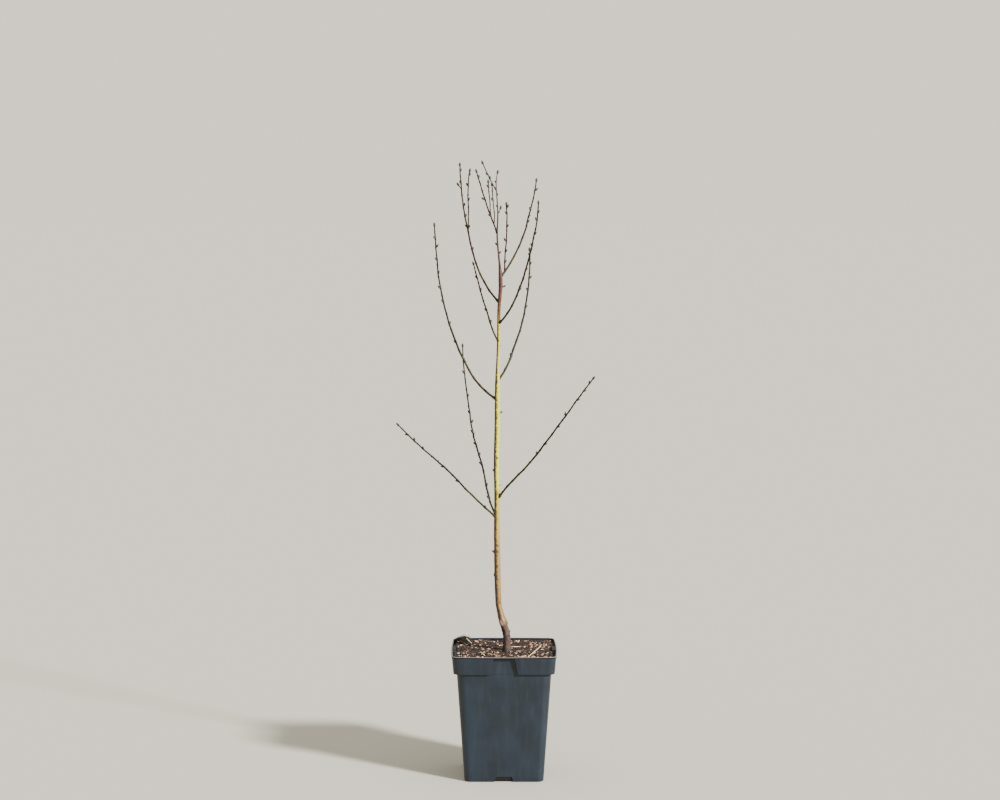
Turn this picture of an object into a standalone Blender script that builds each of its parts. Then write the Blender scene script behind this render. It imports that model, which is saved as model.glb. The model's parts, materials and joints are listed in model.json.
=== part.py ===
# A young grafted nectarine with bare twigs, in a deep square nursery pot.
# Metres, +Z up. The origin is the middle of the pot's flat underside, and the
# pot's front faces -Y. The tree is a rootstock, a graft union, a slim straight
# stem with boughs all round it, and twigs with buds at the end of each bough.

import bmesh
import bpy
import math
import random
from mathutils import Euler, Matrix, Vector

MODEL = "potted_nectarine_tree"

# Room left between neighbouring solids.
GAP = 0.0003

# Pot: half widths across the flats, outside, and heights above the underside.
POT_HEIGHT = 0.246
POT_WALL = 0.0016
POT_FLOOR = 0.0020
FOOT_HALF = 0.0758
FOOT_CHAMFER = 0.0013
SHOULDER_HALF = 0.0902
SKIRT_FOOT_HALF = 0.0966
SKIRT_TOP_HALF = 0.0992
LIP_HALF = 0.1000
LIP_HEIGHT = 0.0026
SKIRT_HEIGHT = 0.0345
SHOULDER_HEIGHT = POT_HEIGHT - SKIRT_HEIGHT
FOOT_CORNER = 0.012
BODY_CORNER = 0.017
SKIRT_CORNER = 0.014
RIM_BOW = 0.0025
SHOULDER_BOW = 0.0008
SIDE_STEPS = 4
CORNER_STEPS = 4

# The plain recess in the middle of each side of the skirt.
RECESS_TOP_WIDTH = 0.039
RECESS_FOOT_WIDTH = 0.0516
RECESS_FOOT_HALF = 0.0917
RECESS_TOP_HALF = 0.0938
RECESS_TOP = POT_HEIGHT - LIP_HEIGHT

# Drain slots low in the middle of each side.
SLOT_FOOT_WIDTH = 0.037
SLOT_TOP_WIDTH = 0.031
SLOT_HEIGHT = 0.0098
SLOT_INNER_HALF = 0.050

# Soil: it fills the pot to a little under the rim, with one raised clump.
SOIL_LEVEL = POT_HEIGHT - 0.0045
CLUMP_PLACE = (-0.0800, 0.0770)
CLUMP_SIZE = (0.0155, 0.0095, 0.0110)

# Trunk: three stretches from the soil up. Leans are degrees from upright,
# to the left and to the back, and radii are metres, at even steps upwards.
TRUNK_FOOT = Vector((0.0062, -0.0180, SOIL_LEVEL + GAP))
STRETCHES = {
    "rootstock": {
        "length": 0.0912,
        "left": (6, -1, 11, 21, 12, 15),
        "back": (4.8, 5.3),
        "radii": (0.0080, 0.0070, 0.0070, 0.0081, 0.0065, 0.0058),
    },
    "stem": {
        "length": 0.4248,
        "left": (3, 1, 1, -1, 2, -2, 0, -1),
        "back": (3.6, 1.4, 1.1, 1.2),
        "radii": (0.0058, 0.0062, 0.0058, 0.0053, 0.0052, 0.0052, 0.0051, 0.0048),
    },
    "leader": {
        "length": 0.4069,
        "left": (0, -2, -2, 0, -1, -6, 2, 6, 5, -4, 3, 5, -13),
        "back": (2.4, -2.4, 2.2, 0.8),
        "radii": (0.0048, 0.0036, 0.0033, 0.0031, 0.0033, 0.0037, 0.0041,
                  0.0020, 0.0018, 0.0016, 0.0014, 0.0012, 0.0009),
    },
}
TRUNK_STEP = 0.016
ROOT_FLARE = 0.0014
ROOT_FLARE_HEIGHT = 0.009

# Rounded lumps fused to the trunk: height, turn about the trunk seen from
# above (0 is +X, 90 is the back), how far out the middle is, and half sizes.
TRUNK_LUMPS = {
    "graft_heel": (0.2995, -10, 0.0048, (0.0044, 0.0050, 0.0092)),
    "rootstock_knob": (0.2805, 5, 0.0066, (0.0026, 0.0024, 0.0030)),
    "low_back_knob": (0.3180, 150, 0.0052, (0.0024, 0.0022, 0.0030)),
    "left_scar": (0.3890, 175, 0.0055, (0.0020, 0.0024, 0.0036)),
    "left_bud": (0.4340, 190, 0.0055, (0.0026, 0.0022, 0.0034)),
    "right_node": (0.4080, 20, 0.0052, (0.0018, 0.0022, 0.0030)),
    "back_node": (0.4620, 95, 0.0050, (0.0020, 0.0020, 0.0030)),
    "front_node": (0.5620, -20, 0.0047, (0.0018, 0.0020, 0.0028)),
    "left_node": (0.5910, 185, 0.0046, (0.0020, 0.0018, 0.0028)),
    "mid_node": (0.6150, -75, 0.0045, (0.0018, 0.0018, 0.0028)),
    "upper_back_node": (0.6500, 80, 0.0045, (0.0018, 0.0018, 0.0028)),
    "spur_scar": (0.7020, -5, 0.0050, (0.0024, 0.0018, 0.0024)),
    "fork_node": (0.9440, 0, 0.0042, (0.0026, 0.0016, 0.0018)),
    "leader_right_node": (1.0080, 0, 0.0017, (0.0014, 0.0012, 0.0020)),
    "leader_left_node": (1.0240, 180, 0.0016, (0.0014, 0.0012, 0.0020)),
}

# Limbs: height of the base on the trunk, turn seen from above, length, leans
# from upright at even steps, radii at base and tip, the share that is bough
# before its twigs begin, and the shares where its buds sit, with a minus on
# those that point to the left.
LIMBS = {
    "low_left": {
        "height": 0.499, "turn": 208, "length": 0.283,
        "leans": (50, 48, 44, 51, 49, 45), "thick": 0.0018, "thin": 0.0008, "bough": 0.42,
        "buds": (0.12, -0.40, -0.55, 0.75, 0.83, -0.90),
    },
    "inner_left": {
        "height": 0.501, "turn": 118, "length": 0.360,
        "leans": (56, 20, 38, 16, 17, 3), "thick": 0.0018, "thin": 0.0008, "bough": 0.40,
        "buds": (-0.13, 0.20, -0.32, 0.38, -0.45, -0.52, 0.57, -0.63, 0.72, -0.85, 0.92),
    },
    "low_right": {
        "height": 0.534, "turn": -30, "length": 0.320,
        "leans": (37, 48, 40, 39, 38, 40), "thick": 0.0019, "thin": 0.0008, "bough": 0.42,
        "buds": (-0.40, 0.48, 0.62, -0.70, 0.83, 0.90, -0.96),
    },
    "outer_left": {
        "height": 0.727, "turn": 160, "length": 0.372,
        "leans": (63, 32, 22, 14, 5, 4), "thick": 0.0020, "thin": 0.0008, "bough": 0.42,
        "buds": (-0.38, 0.48, -0.60, -0.67, 0.75, -0.82, 0.88, -0.93),
    },
    "mid_right": {
        "height": 0.764, "turn": 55, "length": 0.283,
        "leans": (62, 33, 32, 16, 10, -8), "thick": 0.0020, "thin": 0.0008, "bough": 0.42,
        "buds": (-0.23, 0.60, -0.72, 0.80, 0.90, -0.96),
    },
    "inner_front": {
        "height": 0.838, "turn": 238, "length": 0.177,
        "leans": (50, 28, 31, 25, 26), "thick": 0.0015, "thin": 0.0008, "bough": 0.45,
        "buds": (0.28, -0.43, 0.68, -0.83),
    },
    "upper_right": {
        "height": 0.873, "turn": -42, "length": 0.257,
        "leans": (54, 33, 24, 18, 15, 2), "thick": 0.0018, "thin": 0.0008, "bough": 0.42,
        "buds": (0.33, -0.68, 0.77, -0.87, 0.93),
    },
    "top_left": {
        "height": 0.913, "turn": 150, "length": 0.284,
        "leans": (49, 31, 16, 13, 7, 2), "thick": 0.0018, "thin": 0.0008, "bough": 0.45,
        "buds": (0.42, -0.58, 0.65, 0.72, -0.88, 0.96),
    },
    "top_right": {
        "height": 0.962, "turn": 35, "length": 0.206,
        "leans": (47, 34, 28, 16, 18, 7), "thick": 0.0018, "thin": 0.0008, "bough": 0.42,
        "buds": (0.60, -0.72, 0.90),
    },
    "crown_left": {
        "height": 1.044, "turn": 215, "length": 0.128,
        "leans": (20, 27, 21, 20, 20), "thick": 0.0013, "thin": 0.0008, "bough": 0.0,
        "buds": (-0.30, 0.36, -0.55, 0.90),
    },
    "crown_tip": {
        "height": 1.126, "turn": 200, "length": 0.060,
        "leans": (32, 24), "thick": 0.0009, "thin": 0.0007, "bough": 0.0,
        "buds": (0.45, -0.60),
    },
}

# Forks of the masses: the limb each grows from, how far along it, and the
# same sizes as a limb.
FORKS = {
    "top_left_inner": {
        "parent": "top_left", "along": 0.532, "turn": 55, "length": 0.121,
        "leans": (2, -2, -1, 18), "thick": 0.0011, "thin": 0.0008,
        "buds": (0.10, 0.53, -0.75, 0.93),
    },
    "top_left_outer": {
        "parent": "top_left", "along": 0.833, "turn": 200, "length": 0.012,
        "leans": (34, 37), "thick": 0.0008, "thin": 0.0007,
        "buds": (),
    },
    "crown_left_inner": {
        "parent": "crown_left", "along": 0.151, "turn": 115, "length": 0.077,
        "leans": (-17, 16, 11, 5), "thick": 0.0009, "thin": 0.0007,
        "buds": (-0.62,),
    },
    "crown_left_middle": {
        "parent": "crown_left", "along": 0.247, "turn": 235, "length": 0.071,
        "leans": (26, 1, 13, 2), "thick": 0.0009, "thin": 0.0007,
        "buds": (-0.87,),
    },
}

# The upright twig is a mass of its own, whose stem meets the foot of a bough.
UPRIGHT = {
    "parent": "top_right", "along": 0.070, "turn": -60, "length": 0.129,
    "leans": (-2, 10, 3, -8), "thick": 0.0012, "thin": 0.0008,
    "buds": (0.14, 0.30, -0.45, 0.67, -0.86, 0.94),
}
LEADER_SPUR = {"height": 1.082, "turn": 10, "length": 0.013, "leans": (38, 12)}

# Limb shaping.
PATH_STEPS = 60
LIMB_STEP = 0.018
COLLAR_SWELL = 0.45
COLLAR_LENGTH = 0.005

# Buds along the twigs, some of them on a short spur.
SEED = 11
BUD_LEAN = 34
BUD_DEPTH = 0.8
BUD_LENGTH = 0.0046
BUD_RADIUS = 0.0013
BUD_SUNK = 0.0008
TIP_BUD_LENGTH = 0.0056
SPUR_EVERY = 3
SPUR_LENGTH = (0.0020, 0.0042)
SPUR_RADIUS = 0.0008
TWIG_CLEARANCE = 0.0035
CROWN_TOP = 1.182
CROWN_REACH = 0.215

# Colours: red, green, blue, then roughness.
COLOURS = {
    "pot_plastic": (0.035, 0.050, 0.068, 0.42),
    "soil": (0.030, 0.017, 0.012, 0.95),
    "bark": (0.140, 0.085, 0.040, 0.70),
    "bough_bark": (0.060, 0.036, 0.026, 0.62),
    "twig_bark": (0.050, 0.024, 0.022, 0.60),
}


def clear_scene():
    for thing in list(bpy.data.objects):
        bpy.data.objects.remove(thing, do_unlink=True)


def make_material(name, colour):
    material = bpy.data.materials.new(name)
    material.use_nodes = True
    shader = material.node_tree.nodes["Principled BSDF"]
    shader.inputs["Base Color"].default_value = (colour[0], colour[1], colour[2], 1.0)
    shader.inputs["Roughness"].default_value = colour[3]
    shader.inputs["Metallic"].default_value = 0.0
    material.diffuse_color = (colour[0], colour[1], colour[2], 1.0)
    return material


def give_material(thing, kind):
    thing.data.materials.clear()
    thing.data.materials.append(make_material(thing.name + "_" + kind, COLOURS[kind]))


def new_object(name, mesh, collection, place=(0, 0, 0)):
    thing = bpy.data.objects.new(name, mesh)
    thing.location = place
    collection.objects.link(thing)
    return thing


def mesh_from(name, build):
    """A mesh made by one function that fills a bmesh."""
    shape = bmesh.new()
    build(shape)
    mesh = bpy.data.meshes.new(name)
    shape.to_mesh(mesh)
    shape.free()
    return mesh


def hide_cutter(thing):
    thing.hide_render = True
    thing.hide_viewport = False
    thing.display_type = "WIRE"


def add_boolean(target, operation, operand, solver="EXACT"):
    modifier = target.modifiers.new(operation.lower(), "BOOLEAN")
    modifier.operation = operation
    modifier.solver = solver
    if isinstance(operand, bpy.types.Collection):
        modifier.operand_type = "COLLECTION"
        modifier.collection = operand
    else:
        modifier.operand_type = "OBJECT"
        modifier.object = operand
    return modifier


def interpolate(values, share):
    """A value from a list that is spread evenly from share 0 to share 1."""
    place = min(max(share, 0.0), 1.0) * (len(values) - 1)
    low = min(int(place), len(values) - 2)
    return values[low] + (values[low + 1] - values[low]) * (place - low)


# Pot and soil

def rounded_square(half, corner, bow):
    """One level of the pot, anticlockwise from above, its sides slightly bowed."""
    points = []
    straight = half - corner
    for side in range(4):
        turn = Matrix.Rotation(side * math.pi / 2, 2)
        for step in range(SIDE_STEPS):
            across = -1 + 2 * step / SIDE_STEPS
            flat = Vector((half + bow * (1 - across * across), across * straight))
            points.append(turn @ flat)
        for step in range(CORNER_STEPS):
            angle = math.pi / 2 * step / CORNER_STEPS
            arc = Vector((math.cos(angle), math.sin(angle))) * corner
            points.append(turn @ (Vector((straight, straight)) + arc))
    return points


def loft(levels):
    """A closed solid through levels of height, half width, corner and bow."""
    def build(shape):
        rings = []
        for height, half, corner, bow in levels:
            outline = rounded_square(half, corner, bow)
            rings.append([shape.verts.new((p.x, p.y, height)) for p in outline])
        count = len(rings[0])
        for lower, upper in zip(rings, rings[1:]):
            for i in range(count):
                j = (i + 1) % count
                shape.faces.new((lower[i], lower[j], upper[j], upper[i]))
        shape.faces.new(list(reversed(rings[0])))
        shape.faces.new(rings[-1])
    return build


def wedge(foot, top, foot_width, top_width, inner_foot, inner_top, outer):
    """A block with sloping sides that faces +X, from one height to another."""
    def build(shape):
        bmesh.ops.create_cube(shape, size=2.0)
        for vert in shape.verts:
            high = vert.co.z > 0
            width = top_width if high else foot_width
            inner = inner_top if high else inner_foot
            side = math.copysign(width / 2, vert.co.y)
            reach = outer if vert.co.x > 0 else inner
            vert.co = (reach, side, top if high else foot)
    return build


def recess_block(grow, name):
    """The recess, or with growth the wall or the clear room behind it."""
    return mesh_from(name, wedge(
        SHOULDER_HEIGHT - 0.0005 - grow, RECESS_TOP + grow,
        RECESS_FOOT_WIDTH + 2 * grow, RECESS_TOP_WIDTH + 2 * grow,
        RECESS_FOOT_HALF - grow, RECESS_TOP_HALF - grow, LIP_HALF + 0.02))


def around(mesh, name, cutters):
    """Four copies of a block, one for each side of the pot, as one collection."""
    group = bpy.data.collections.new(name)
    cutters.children.link(group)
    for side in range(4):
        block = new_object(name + "_" + str(side + 1), mesh, group)
        block.rotation_euler = Euler((0, 0, side * math.pi / 2))
        hide_cutter(block)
    return group


def cavity_levels(gap):
    """The inside of the pot, or with a gap the space that the soil fills."""
    wall = POT_WALL + gap
    ledge = SHOULDER_HEIGHT + POT_WALL + gap
    return (
        (POT_FLOOR + gap, FOOT_HALF - wall, FOOT_CORNER - POT_WALL, 0),
        (ledge, SHOULDER_HALF - wall, BODY_CORNER - POT_WALL, SHOULDER_BOW),
        (ledge + 0.0001, SKIRT_FOOT_HALF - wall, SKIRT_CORNER - POT_WALL, SHOULDER_BOW),
    )


def make_pot(collection, cutters):
    lip_foot = POT_HEIGHT - LIP_HEIGHT
    outside = (
        (0, FOOT_HALF - FOOT_CHAMFER, FOOT_CORNER, 0),
        (FOOT_CHAMFER, FOOT_HALF, FOOT_CORNER, 0),
        (SHOULDER_HEIGHT - 0.0002, SHOULDER_HALF, BODY_CORNER, SHOULDER_BOW),
        (SHOULDER_HEIGHT, SKIRT_FOOT_HALF, SKIRT_CORNER, SHOULDER_BOW),
        (lip_foot - 0.0002, SKIRT_TOP_HALF, SKIRT_CORNER, RIM_BOW),
        (lip_foot, LIP_HALF, SKIRT_CORNER, RIM_BOW),
        (POT_HEIGHT, LIP_HALF, SKIRT_CORNER, RIM_BOW),
    )
    above = POT_HEIGHT + 0.004
    inside = cavity_levels(0) + (
        (lip_foot, SKIRT_TOP_HALF - POT_WALL, SKIRT_CORNER - POT_WALL, RIM_BOW),
        (above, SKIRT_TOP_HALF - POT_WALL, SKIRT_CORNER - POT_WALL, RIM_BOW),
    )
    pot = new_object("pot", mesh_from("pot", loft(outside)), collection)
    cavity = new_object("cavity", mesh_from("cavity", loft(inside)), cutters)
    hide_cutter(cavity)
    walls = around(recess_block(POT_WALL, "recess_wall"), "recess_wall", cutters)
    add_boolean(cavity, "DIFFERENCE", walls)
    recesses = around(recess_block(0, "recess"), "recess", cutters)
    slot = mesh_from("slot", wedge(
        -0.002, SLOT_HEIGHT, SLOT_FOOT_WIDTH, SLOT_TOP_WIDTH,
        SLOT_INNER_HALF, SLOT_INNER_HALF, LIP_HALF))
    slots = around(slot, "slot", cutters)
    add_boolean(pot, "DIFFERENCE", cavity)
    add_boolean(pot, "DIFFERENCE", recesses)
    add_boolean(pot, "DIFFERENCE", slots)
    give_material(pot, "pot_plastic")
    return pot


def make_soil(collection, cutters):
    top_share = (SOIL_LEVEL - SHOULDER_HEIGHT) / SKIRT_HEIGHT
    top_half = SKIRT_FOOT_HALF + (SKIRT_TOP_HALF - SKIRT_FOOT_HALF) * top_share
    top_bow = SHOULDER_BOW + (RIM_BOW - SHOULDER_BOW) * top_share
    levels = cavity_levels(GAP) + (
        (SOIL_LEVEL, top_half - POT_WALL - GAP, SKIRT_CORNER - POT_WALL, top_bow),
    )
    soil = new_object("soil", mesh_from("soil", loft(levels)), collection)
    room = recess_block(POT_WALL + GAP, "recess_room")
    add_boolean(soil, "DIFFERENCE", around(room, "recess_room", cutters))
    clump = new_object("clump", lump_mesh(CLUMP_SIZE, 10, 6), cutters)
    clump.location = (CLUMP_PLACE[0], CLUMP_PLACE[1], SOIL_LEVEL)
    hide_cutter(clump)
    add_boolean(soil, "UNION", clump)
    give_material(soil, "soil")
    return soil


def lump_mesh(half_sizes, around_count, rows):
    def build(shape):
        bmesh.ops.create_uvsphere(shape, u_segments=around_count, v_segments=rows, radius=1.0)
        bmesh.ops.scale(shape, vec=half_sizes, verts=shape.verts)
    return mesh_from("lump", build)


# Limb paths

def trunk_stations():
    """Points and radii up the trunk, close together, from the three stretches."""
    point = TRUNK_FOOT.copy()
    stations = []
    for stretch in STRETCHES.values():
        length = stretch["length"]
        steps = round(length / TRUNK_STEP) * 2
        for step in range(steps):
            share = step / steps
            stations.append((point.copy(), interpolate(stretch["radii"], share)))
            middle = (step + 0.5) / steps
            left = math.radians(interpolate(stretch["left"], middle))
            back = math.radians(interpolate(stretch["back"], middle))
            side = -math.sin(left)
            depth = math.sin(back)
            rise = math.sqrt(1 - side * side - depth * depth)
            point += Vector((side, depth, rise)) * (length / steps)
    stations.append((point.copy(), STRETCHES["leader"]["radii"][-1]))
    return stations


def trunk_at(stations, height):
    """The trunk's middle and radius at one height."""
    for (low, low_radius), (high, high_radius) in zip(stations, stations[1:]):
        if low.z <= height <= high.z:
            share = (height - low.z) / (high.z - low.z)
            return low.lerp(high, share), low_radius + (high_radius - low_radius) * share
    return stations[-1][0].copy(), stations[-1][1]


def heading(turn, lean):
    turn = math.radians(turn)
    lean = math.radians(lean)
    flat = math.sin(lean)
    return Vector((flat * math.cos(turn), flat * math.sin(turn), math.cos(lean)))


def limb_path(start, limb):
    """Even points along a limb, from its turn, its length and its leans."""
    point = Vector(start)
    path = [point.copy()]
    for step in range(PATH_STEPS):
        lean = interpolate(limb["leans"], (step + 0.5) / PATH_STEPS)
        point += heading(limb["turn"], lean) * (limb["length"] / PATH_STEPS)
        path.append(point.copy())
    return path


def on_path(path, share):
    place = min(max(share, 0.0), 1.0) * (len(path) - 1)
    low = min(int(place), len(path) - 2)
    return path[low].lerp(path[low + 1], place - low)


def path_heading(path, share):
    before = on_path(path, share - 0.01)
    after = on_path(path, share + 0.01)
    return (after - before).normalized()


def limb_radius(limb, share, surface):
    """Even taper, with a collar where the limb leaves the one that carries it."""
    plain = limb["thick"] + (limb["thin"] - limb["thick"]) * share
    beyond = (share * limb["length"] - surface) / COLLAR_LENGTH
    swell = COLLAR_SWELL * math.exp(-beyond * beyond) if surface else 0
    return plain * (1 + swell)


def limb_stretch(path, limb, first, last, surface):
    """Points and radii of the stretch of a limb between two shares."""
    length = limb["length"]
    count = max(2, round((last - first) * length / LIMB_STEP))
    shares = [first + (last - first) * i / count for i in range(count + 1)]
    if first == 0 and surface:
        near = [surface + COLLAR_LENGTH * k for k in (0.0, 0.7, 1.4)]
        shares = sorted(set(shares + [d / length for d in near if d < last * length]))
    return [(on_path(path, s), limb_radius(limb, s, surface)) for s in shares]


# Round limbs as solids

def tube(name, stations, collection, rounding):
    """A tapering limb with closed ends, its own origin at its first point."""
    origin = stations[0][0].copy()
    thickest = max(radius for _, radius in stations)
    curve = bpy.data.curves.new(name, "CURVE")
    curve.dimensions = "3D"
    curve.bevel_depth = thickest
    curve.bevel_resolution = rounding
    curve.use_fill_caps = True
    spline = curve.splines.new("POLY")
    spline.points.add(len(stations) - 1)
    for slot, (point, radius) in zip(spline.points, stations):
        slot.co = (*(point - origin), 1.0)
        slot.radius = radius / thickest
    limb = new_object(name + "_curve", curve, collection, origin)
    bpy.context.view_layer.update()
    graph = bpy.context.evaluated_depsgraph_get()
    mesh = bpy.data.meshes.new_from_object(limb.evaluated_get(graph))
    bpy.data.objects.remove(limb, do_unlink=True)
    bpy.data.curves.remove(curve)
    solid = bmesh.new()
    solid.from_mesh(mesh)
    bmesh.ops.remove_doubles(solid, verts=solid.verts, dist=0.00001)
    solid.to_mesh(mesh)
    solid.free()
    mesh.name = name
    return new_object(name, mesh, collection, origin)


def bud_mesh(length, radius):
    """A pointed bud that stands on its base, along +Z."""
    def build(shape):
        bmesh.ops.create_cone(
            shape, cap_ends=True, segments=5, radius1=radius, radius2=radius * 0.22,
            depth=length)
        bmesh.ops.translate(shape, verts=shape.verts, vec=(0, 0, length / 2))
    return mesh_from("bud", build)


def stand_along(thing, direction):
    thing.rotation_euler = direction.to_track_quat("Z", "Y").to_euler()


def fuse(name, pieces, collection, solver="EXACT"):
    """The first piece joined to all the rest, as one plain mesh object."""
    base = pieces[0]
    rest = bpy.data.collections.new(name + "_pieces")
    bpy.context.scene.collection.children.link(rest)
    for piece in pieces[1:]:
        for owner in list(piece.users_collection):
            owner.objects.unlink(piece)
        rest.objects.link(piece)
    add_boolean(base, "UNION", rest, solver)
    bpy.context.view_layer.update()
    graph = bpy.context.evaluated_depsgraph_get()
    mesh = bpy.data.meshes.new_from_object(base.evaluated_get(graph))
    mesh.name = name
    place = base.location.copy()
    for piece in pieces:
        bpy.data.objects.remove(piece, do_unlink=True)
    bpy.data.collections.remove(rest)
    return new_object(name, mesh, collection, place)


# Trunk

def thin_out(stations):
    """The trunk's stations at the spacing of its rings, ends kept."""
    kept = stations[0::2]
    if kept[-1][0] != stations[-1][0]:
        kept.append(stations[-1])
    return kept


def flare_foot(stations):
    """The root flare, added to the lowest radii."""
    foot = stations[0][0].z
    low = stations[0][0]
    high = stations[1][0]
    extra = []
    for share in (0.0, 0.18, 0.4, 0.7):
        point = low.lerp(high, share)
        extra.append((point, stations[0][1] + (stations[1][1] - stations[0][1]) * share))
    flared = []
    for point, radius in extra + stations[1:]:
        fall = math.exp(-(point.z - foot) / (ROOT_FLARE_HEIGHT / 2))
        flared.append((point, radius + ROOT_FLARE * fall))
    return flared


def level_foot(trunk):
    """The lowest ring laid level, so that the cut at the soil is flat."""
    for vert in trunk.data.vertices:
        place = trunk.location.z + vert.co.z
        if place < TRUNK_FOOT.z + 0.0012:
            vert.co.z = 0.0


def make_trunk(stations, collection, cutters):
    trunk = tube("trunk", flare_foot(thin_out(stations)), collection, 4)
    level_foot(trunk)
    pieces = [trunk]
    for name, (height, turn, out, sizes) in TRUNK_LUMPS.items():
        middle, _ = trunk_at(stations, height)
        lump = new_object(name, lump_mesh(sizes, 7, 5), collection)
        lump.location = middle + heading(turn, 90) * out
        lump.rotation_euler = Euler((0, 0, math.radians(turn)))
        pieces.append(lump)
    base, _ = trunk_at(stations, LEADER_SPUR["height"])
    spur_limb = dict(LEADER_SPUR, thick=SPUR_RADIUS * 1.3, thin=SPUR_RADIUS)
    spur_path = limb_path(base, spur_limb)
    spur = tube("leader_spur", limb_stretch(spur_path, spur_limb, 0, 1, 0), collection, 1)
    pieces.append(spur)
    pieces.append(tip_bud(spur_path, SPUR_RADIUS, collection))
    trunk = fuse("trunk", pieces, collection)
    give_material(trunk, "bark")
    return trunk


def clearance_tube(name, stations, cutters):
    """A limb grown by the gap all round, used to trim what meets it."""
    grown = [(point, radius + GAP) for point, radius in stations]
    cutter = tube(name, grown, cutters, 4)
    hide_cutter(cutter)
    return cutter


# Boughs and twigs

def tip_bud(path, radius, collection):
    direction = path_heading(path, 1.0)
    bud = new_object("tip_bud", bud_mesh(TIP_BUD_LENGTH, radius * 1.7), collection)
    bud.location = path[-1] - direction * BUD_SUNK * 1.5
    stand_along(bud, direction)
    return bud


def is_clear(point, own, paths):
    """True inside the crown's space and away from every other limb."""
    if point.z > CROWN_TOP or max(abs(point.x), abs(point.y)) > CROWN_REACH:
        return False
    for name, path in paths.items():
        if name == own:
            continue
        if min((point - other).length for other in path) < TWIG_CLEARANCE:
            return False
    return True


def side_growth(own, path, limb, first, paths, rng, collection):
    """The buds of a twig, left or right as its list says, some on a spur."""
    pieces = []
    shares = [share for share in limb["buds"] if abs(share) > first]
    for count, signed in enumerate(shares):
        share = abs(signed)
        along = path_heading(path, share)
        across = Vector((math.copysign(1, signed), rng.uniform(-BUD_DEPTH, BUD_DEPTH), 0))
        across = (across - along * across.dot(along)).normalized()
        out = along * math.cos(math.radians(BUD_LEAN)) + across * math.sin(math.radians(BUD_LEAN))
        base = on_path(path, share)
        spur = count % SPUR_EVERY == SPUR_EVERY - 1
        reach = rng.uniform(*SPUR_LENGTH) if spur else 0.0
        root = base + across * (limb_radius(limb, share, 0) * 0.5) + out * reach
        if not is_clear(root + out * BUD_LENGTH, own, paths):
            continue
        if spur:
            stations = [(base, SPUR_RADIUS * 1.25), (root, SPUR_RADIUS)]
            pieces.append(tube("spur", stations, collection, 1))
            root = root - out * BUD_SUNK
        bud = new_object("side_bud", bud_mesh(BUD_LENGTH, BUD_RADIUS), collection)
        bud.location = root
        stand_along(bud, out)
        pieces.append(bud)
    return pieces


def make_twigs(name, main, paths, rng, surface, forks, collection):
    """One mass: the rest of its limb, its forks, and their buds and spurs."""
    path = paths[name]
    first = main["bough"]
    if first:
        first += GAP / main["length"]
    pieces = [tube("twigs_" + name, limb_stretch(path, main, first, 1, surface), collection, 2)]
    pieces += side_growth(name, path, main, first, paths, rng, collection)
    pieces.append(tip_bud(path, main["thin"], collection))
    for fork_name, fork in forks.items():
        fork_path = paths[fork_name]
        stretch = limb_stretch(fork_path, fork, 0, 1, 0)
        pieces.append(tube(fork_name, stretch, collection, 1))
        pieces += side_growth(fork_name, fork_path, fork, 0, paths, rng, collection)
        pieces.append(tip_bud(fork_path, fork["thin"], collection))
    twigs = fuse("twigs_" + name, pieces, collection)
    give_material(twigs, "twig_bark")
    return twigs


def make_crown(stations, collection, cutters):
    rng = random.Random(SEED)
    trunk_room = clearance_tube("trunk_room", flare_foot(thin_out(stations)), cutters)
    paths = {"trunk": [point for point, _ in stations]}
    surfaces = {}
    for name, limb in LIMBS.items():
        base, trunk_radius = trunk_at(stations, limb["height"])
        paths[name] = limb_path(base, limb)
        surfaces[name] = trunk_radius / math.sin(math.radians(max(limb["leans"][0], 25)))
    for name, fork in FORKS.items():
        paths[name] = limb_path(on_path(paths[fork["parent"]], fork["along"]), fork)
    made = []
    for name, limb in LIMBS.items():
        surface = surfaces[name]
        if limb["bough"]:
            stretch = limb_stretch(paths[name], limb, 0, limb["bough"], surface)
            bough = tube("bough_" + name, stretch, collection, 2)
            add_boolean(bough, "DIFFERENCE", trunk_room)
            give_material(bough, "bough_bark")
            made.append(bough)
        forks = {key: fork for key, fork in FORKS.items() if fork["parent"] == name}
        twigs = make_twigs(name, limb, paths, rng, surface, forks, collection)
        if not limb["bough"]:
            add_boolean(twigs, "DIFFERENCE", trunk_room)
        made.append(twigs)
    made.append(make_upright(paths, surfaces, rng, collection, cutters))
    return made


def make_upright(paths, surfaces, rng, collection, cutters):
    """The upright twig that rises from the foot of the top right bough."""
    parent = LIMBS[UPRIGHT["parent"]]
    parent_path = paths[UPRIGHT["parent"]]
    surface = surfaces[UPRIGHT["parent"]]
    paths["upright"] = limb_path(on_path(parent_path, UPRIGHT["along"]), UPRIGHT)
    bough_stretch = limb_stretch(parent_path, parent, 0, parent["bough"], surface)
    bough_room = clearance_tube("bough_room", bough_stretch, cutters)
    upright = dict(UPRIGHT, bough=0.0)
    others = {key: path for key, path in paths.items() if key != UPRIGHT["parent"]}
    twigs = make_twigs("upright", upright, others, rng, parent["thick"], {}, collection)
    add_boolean(twigs, "DIFFERENCE", bough_room)
    return twigs


def main():
    clear_scene()
    collection = bpy.data.collections.new(MODEL)
    cutters = bpy.data.collections.new(MODEL + "_cutters")
    bpy.context.scene.collection.children.link(collection)
    bpy.context.scene.collection.children.link(cutters)
    holder = bpy.data.objects.new(MODEL, None)
    collection.objects.link(holder)
    stations = trunk_stations()
    parts = [
        make_pot(collection, cutters),
        make_soil(collection, cutters),
        make_trunk(stations, collection, cutters),
    ]
    parts += make_crown(stations, collection, cutters)
    for thing in parts:
        thing.parent = holder


main()
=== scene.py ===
import json
import math
import random

import bmesh
import bpy
from mathutils import Euler, Matrix, Vector, noise

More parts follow.
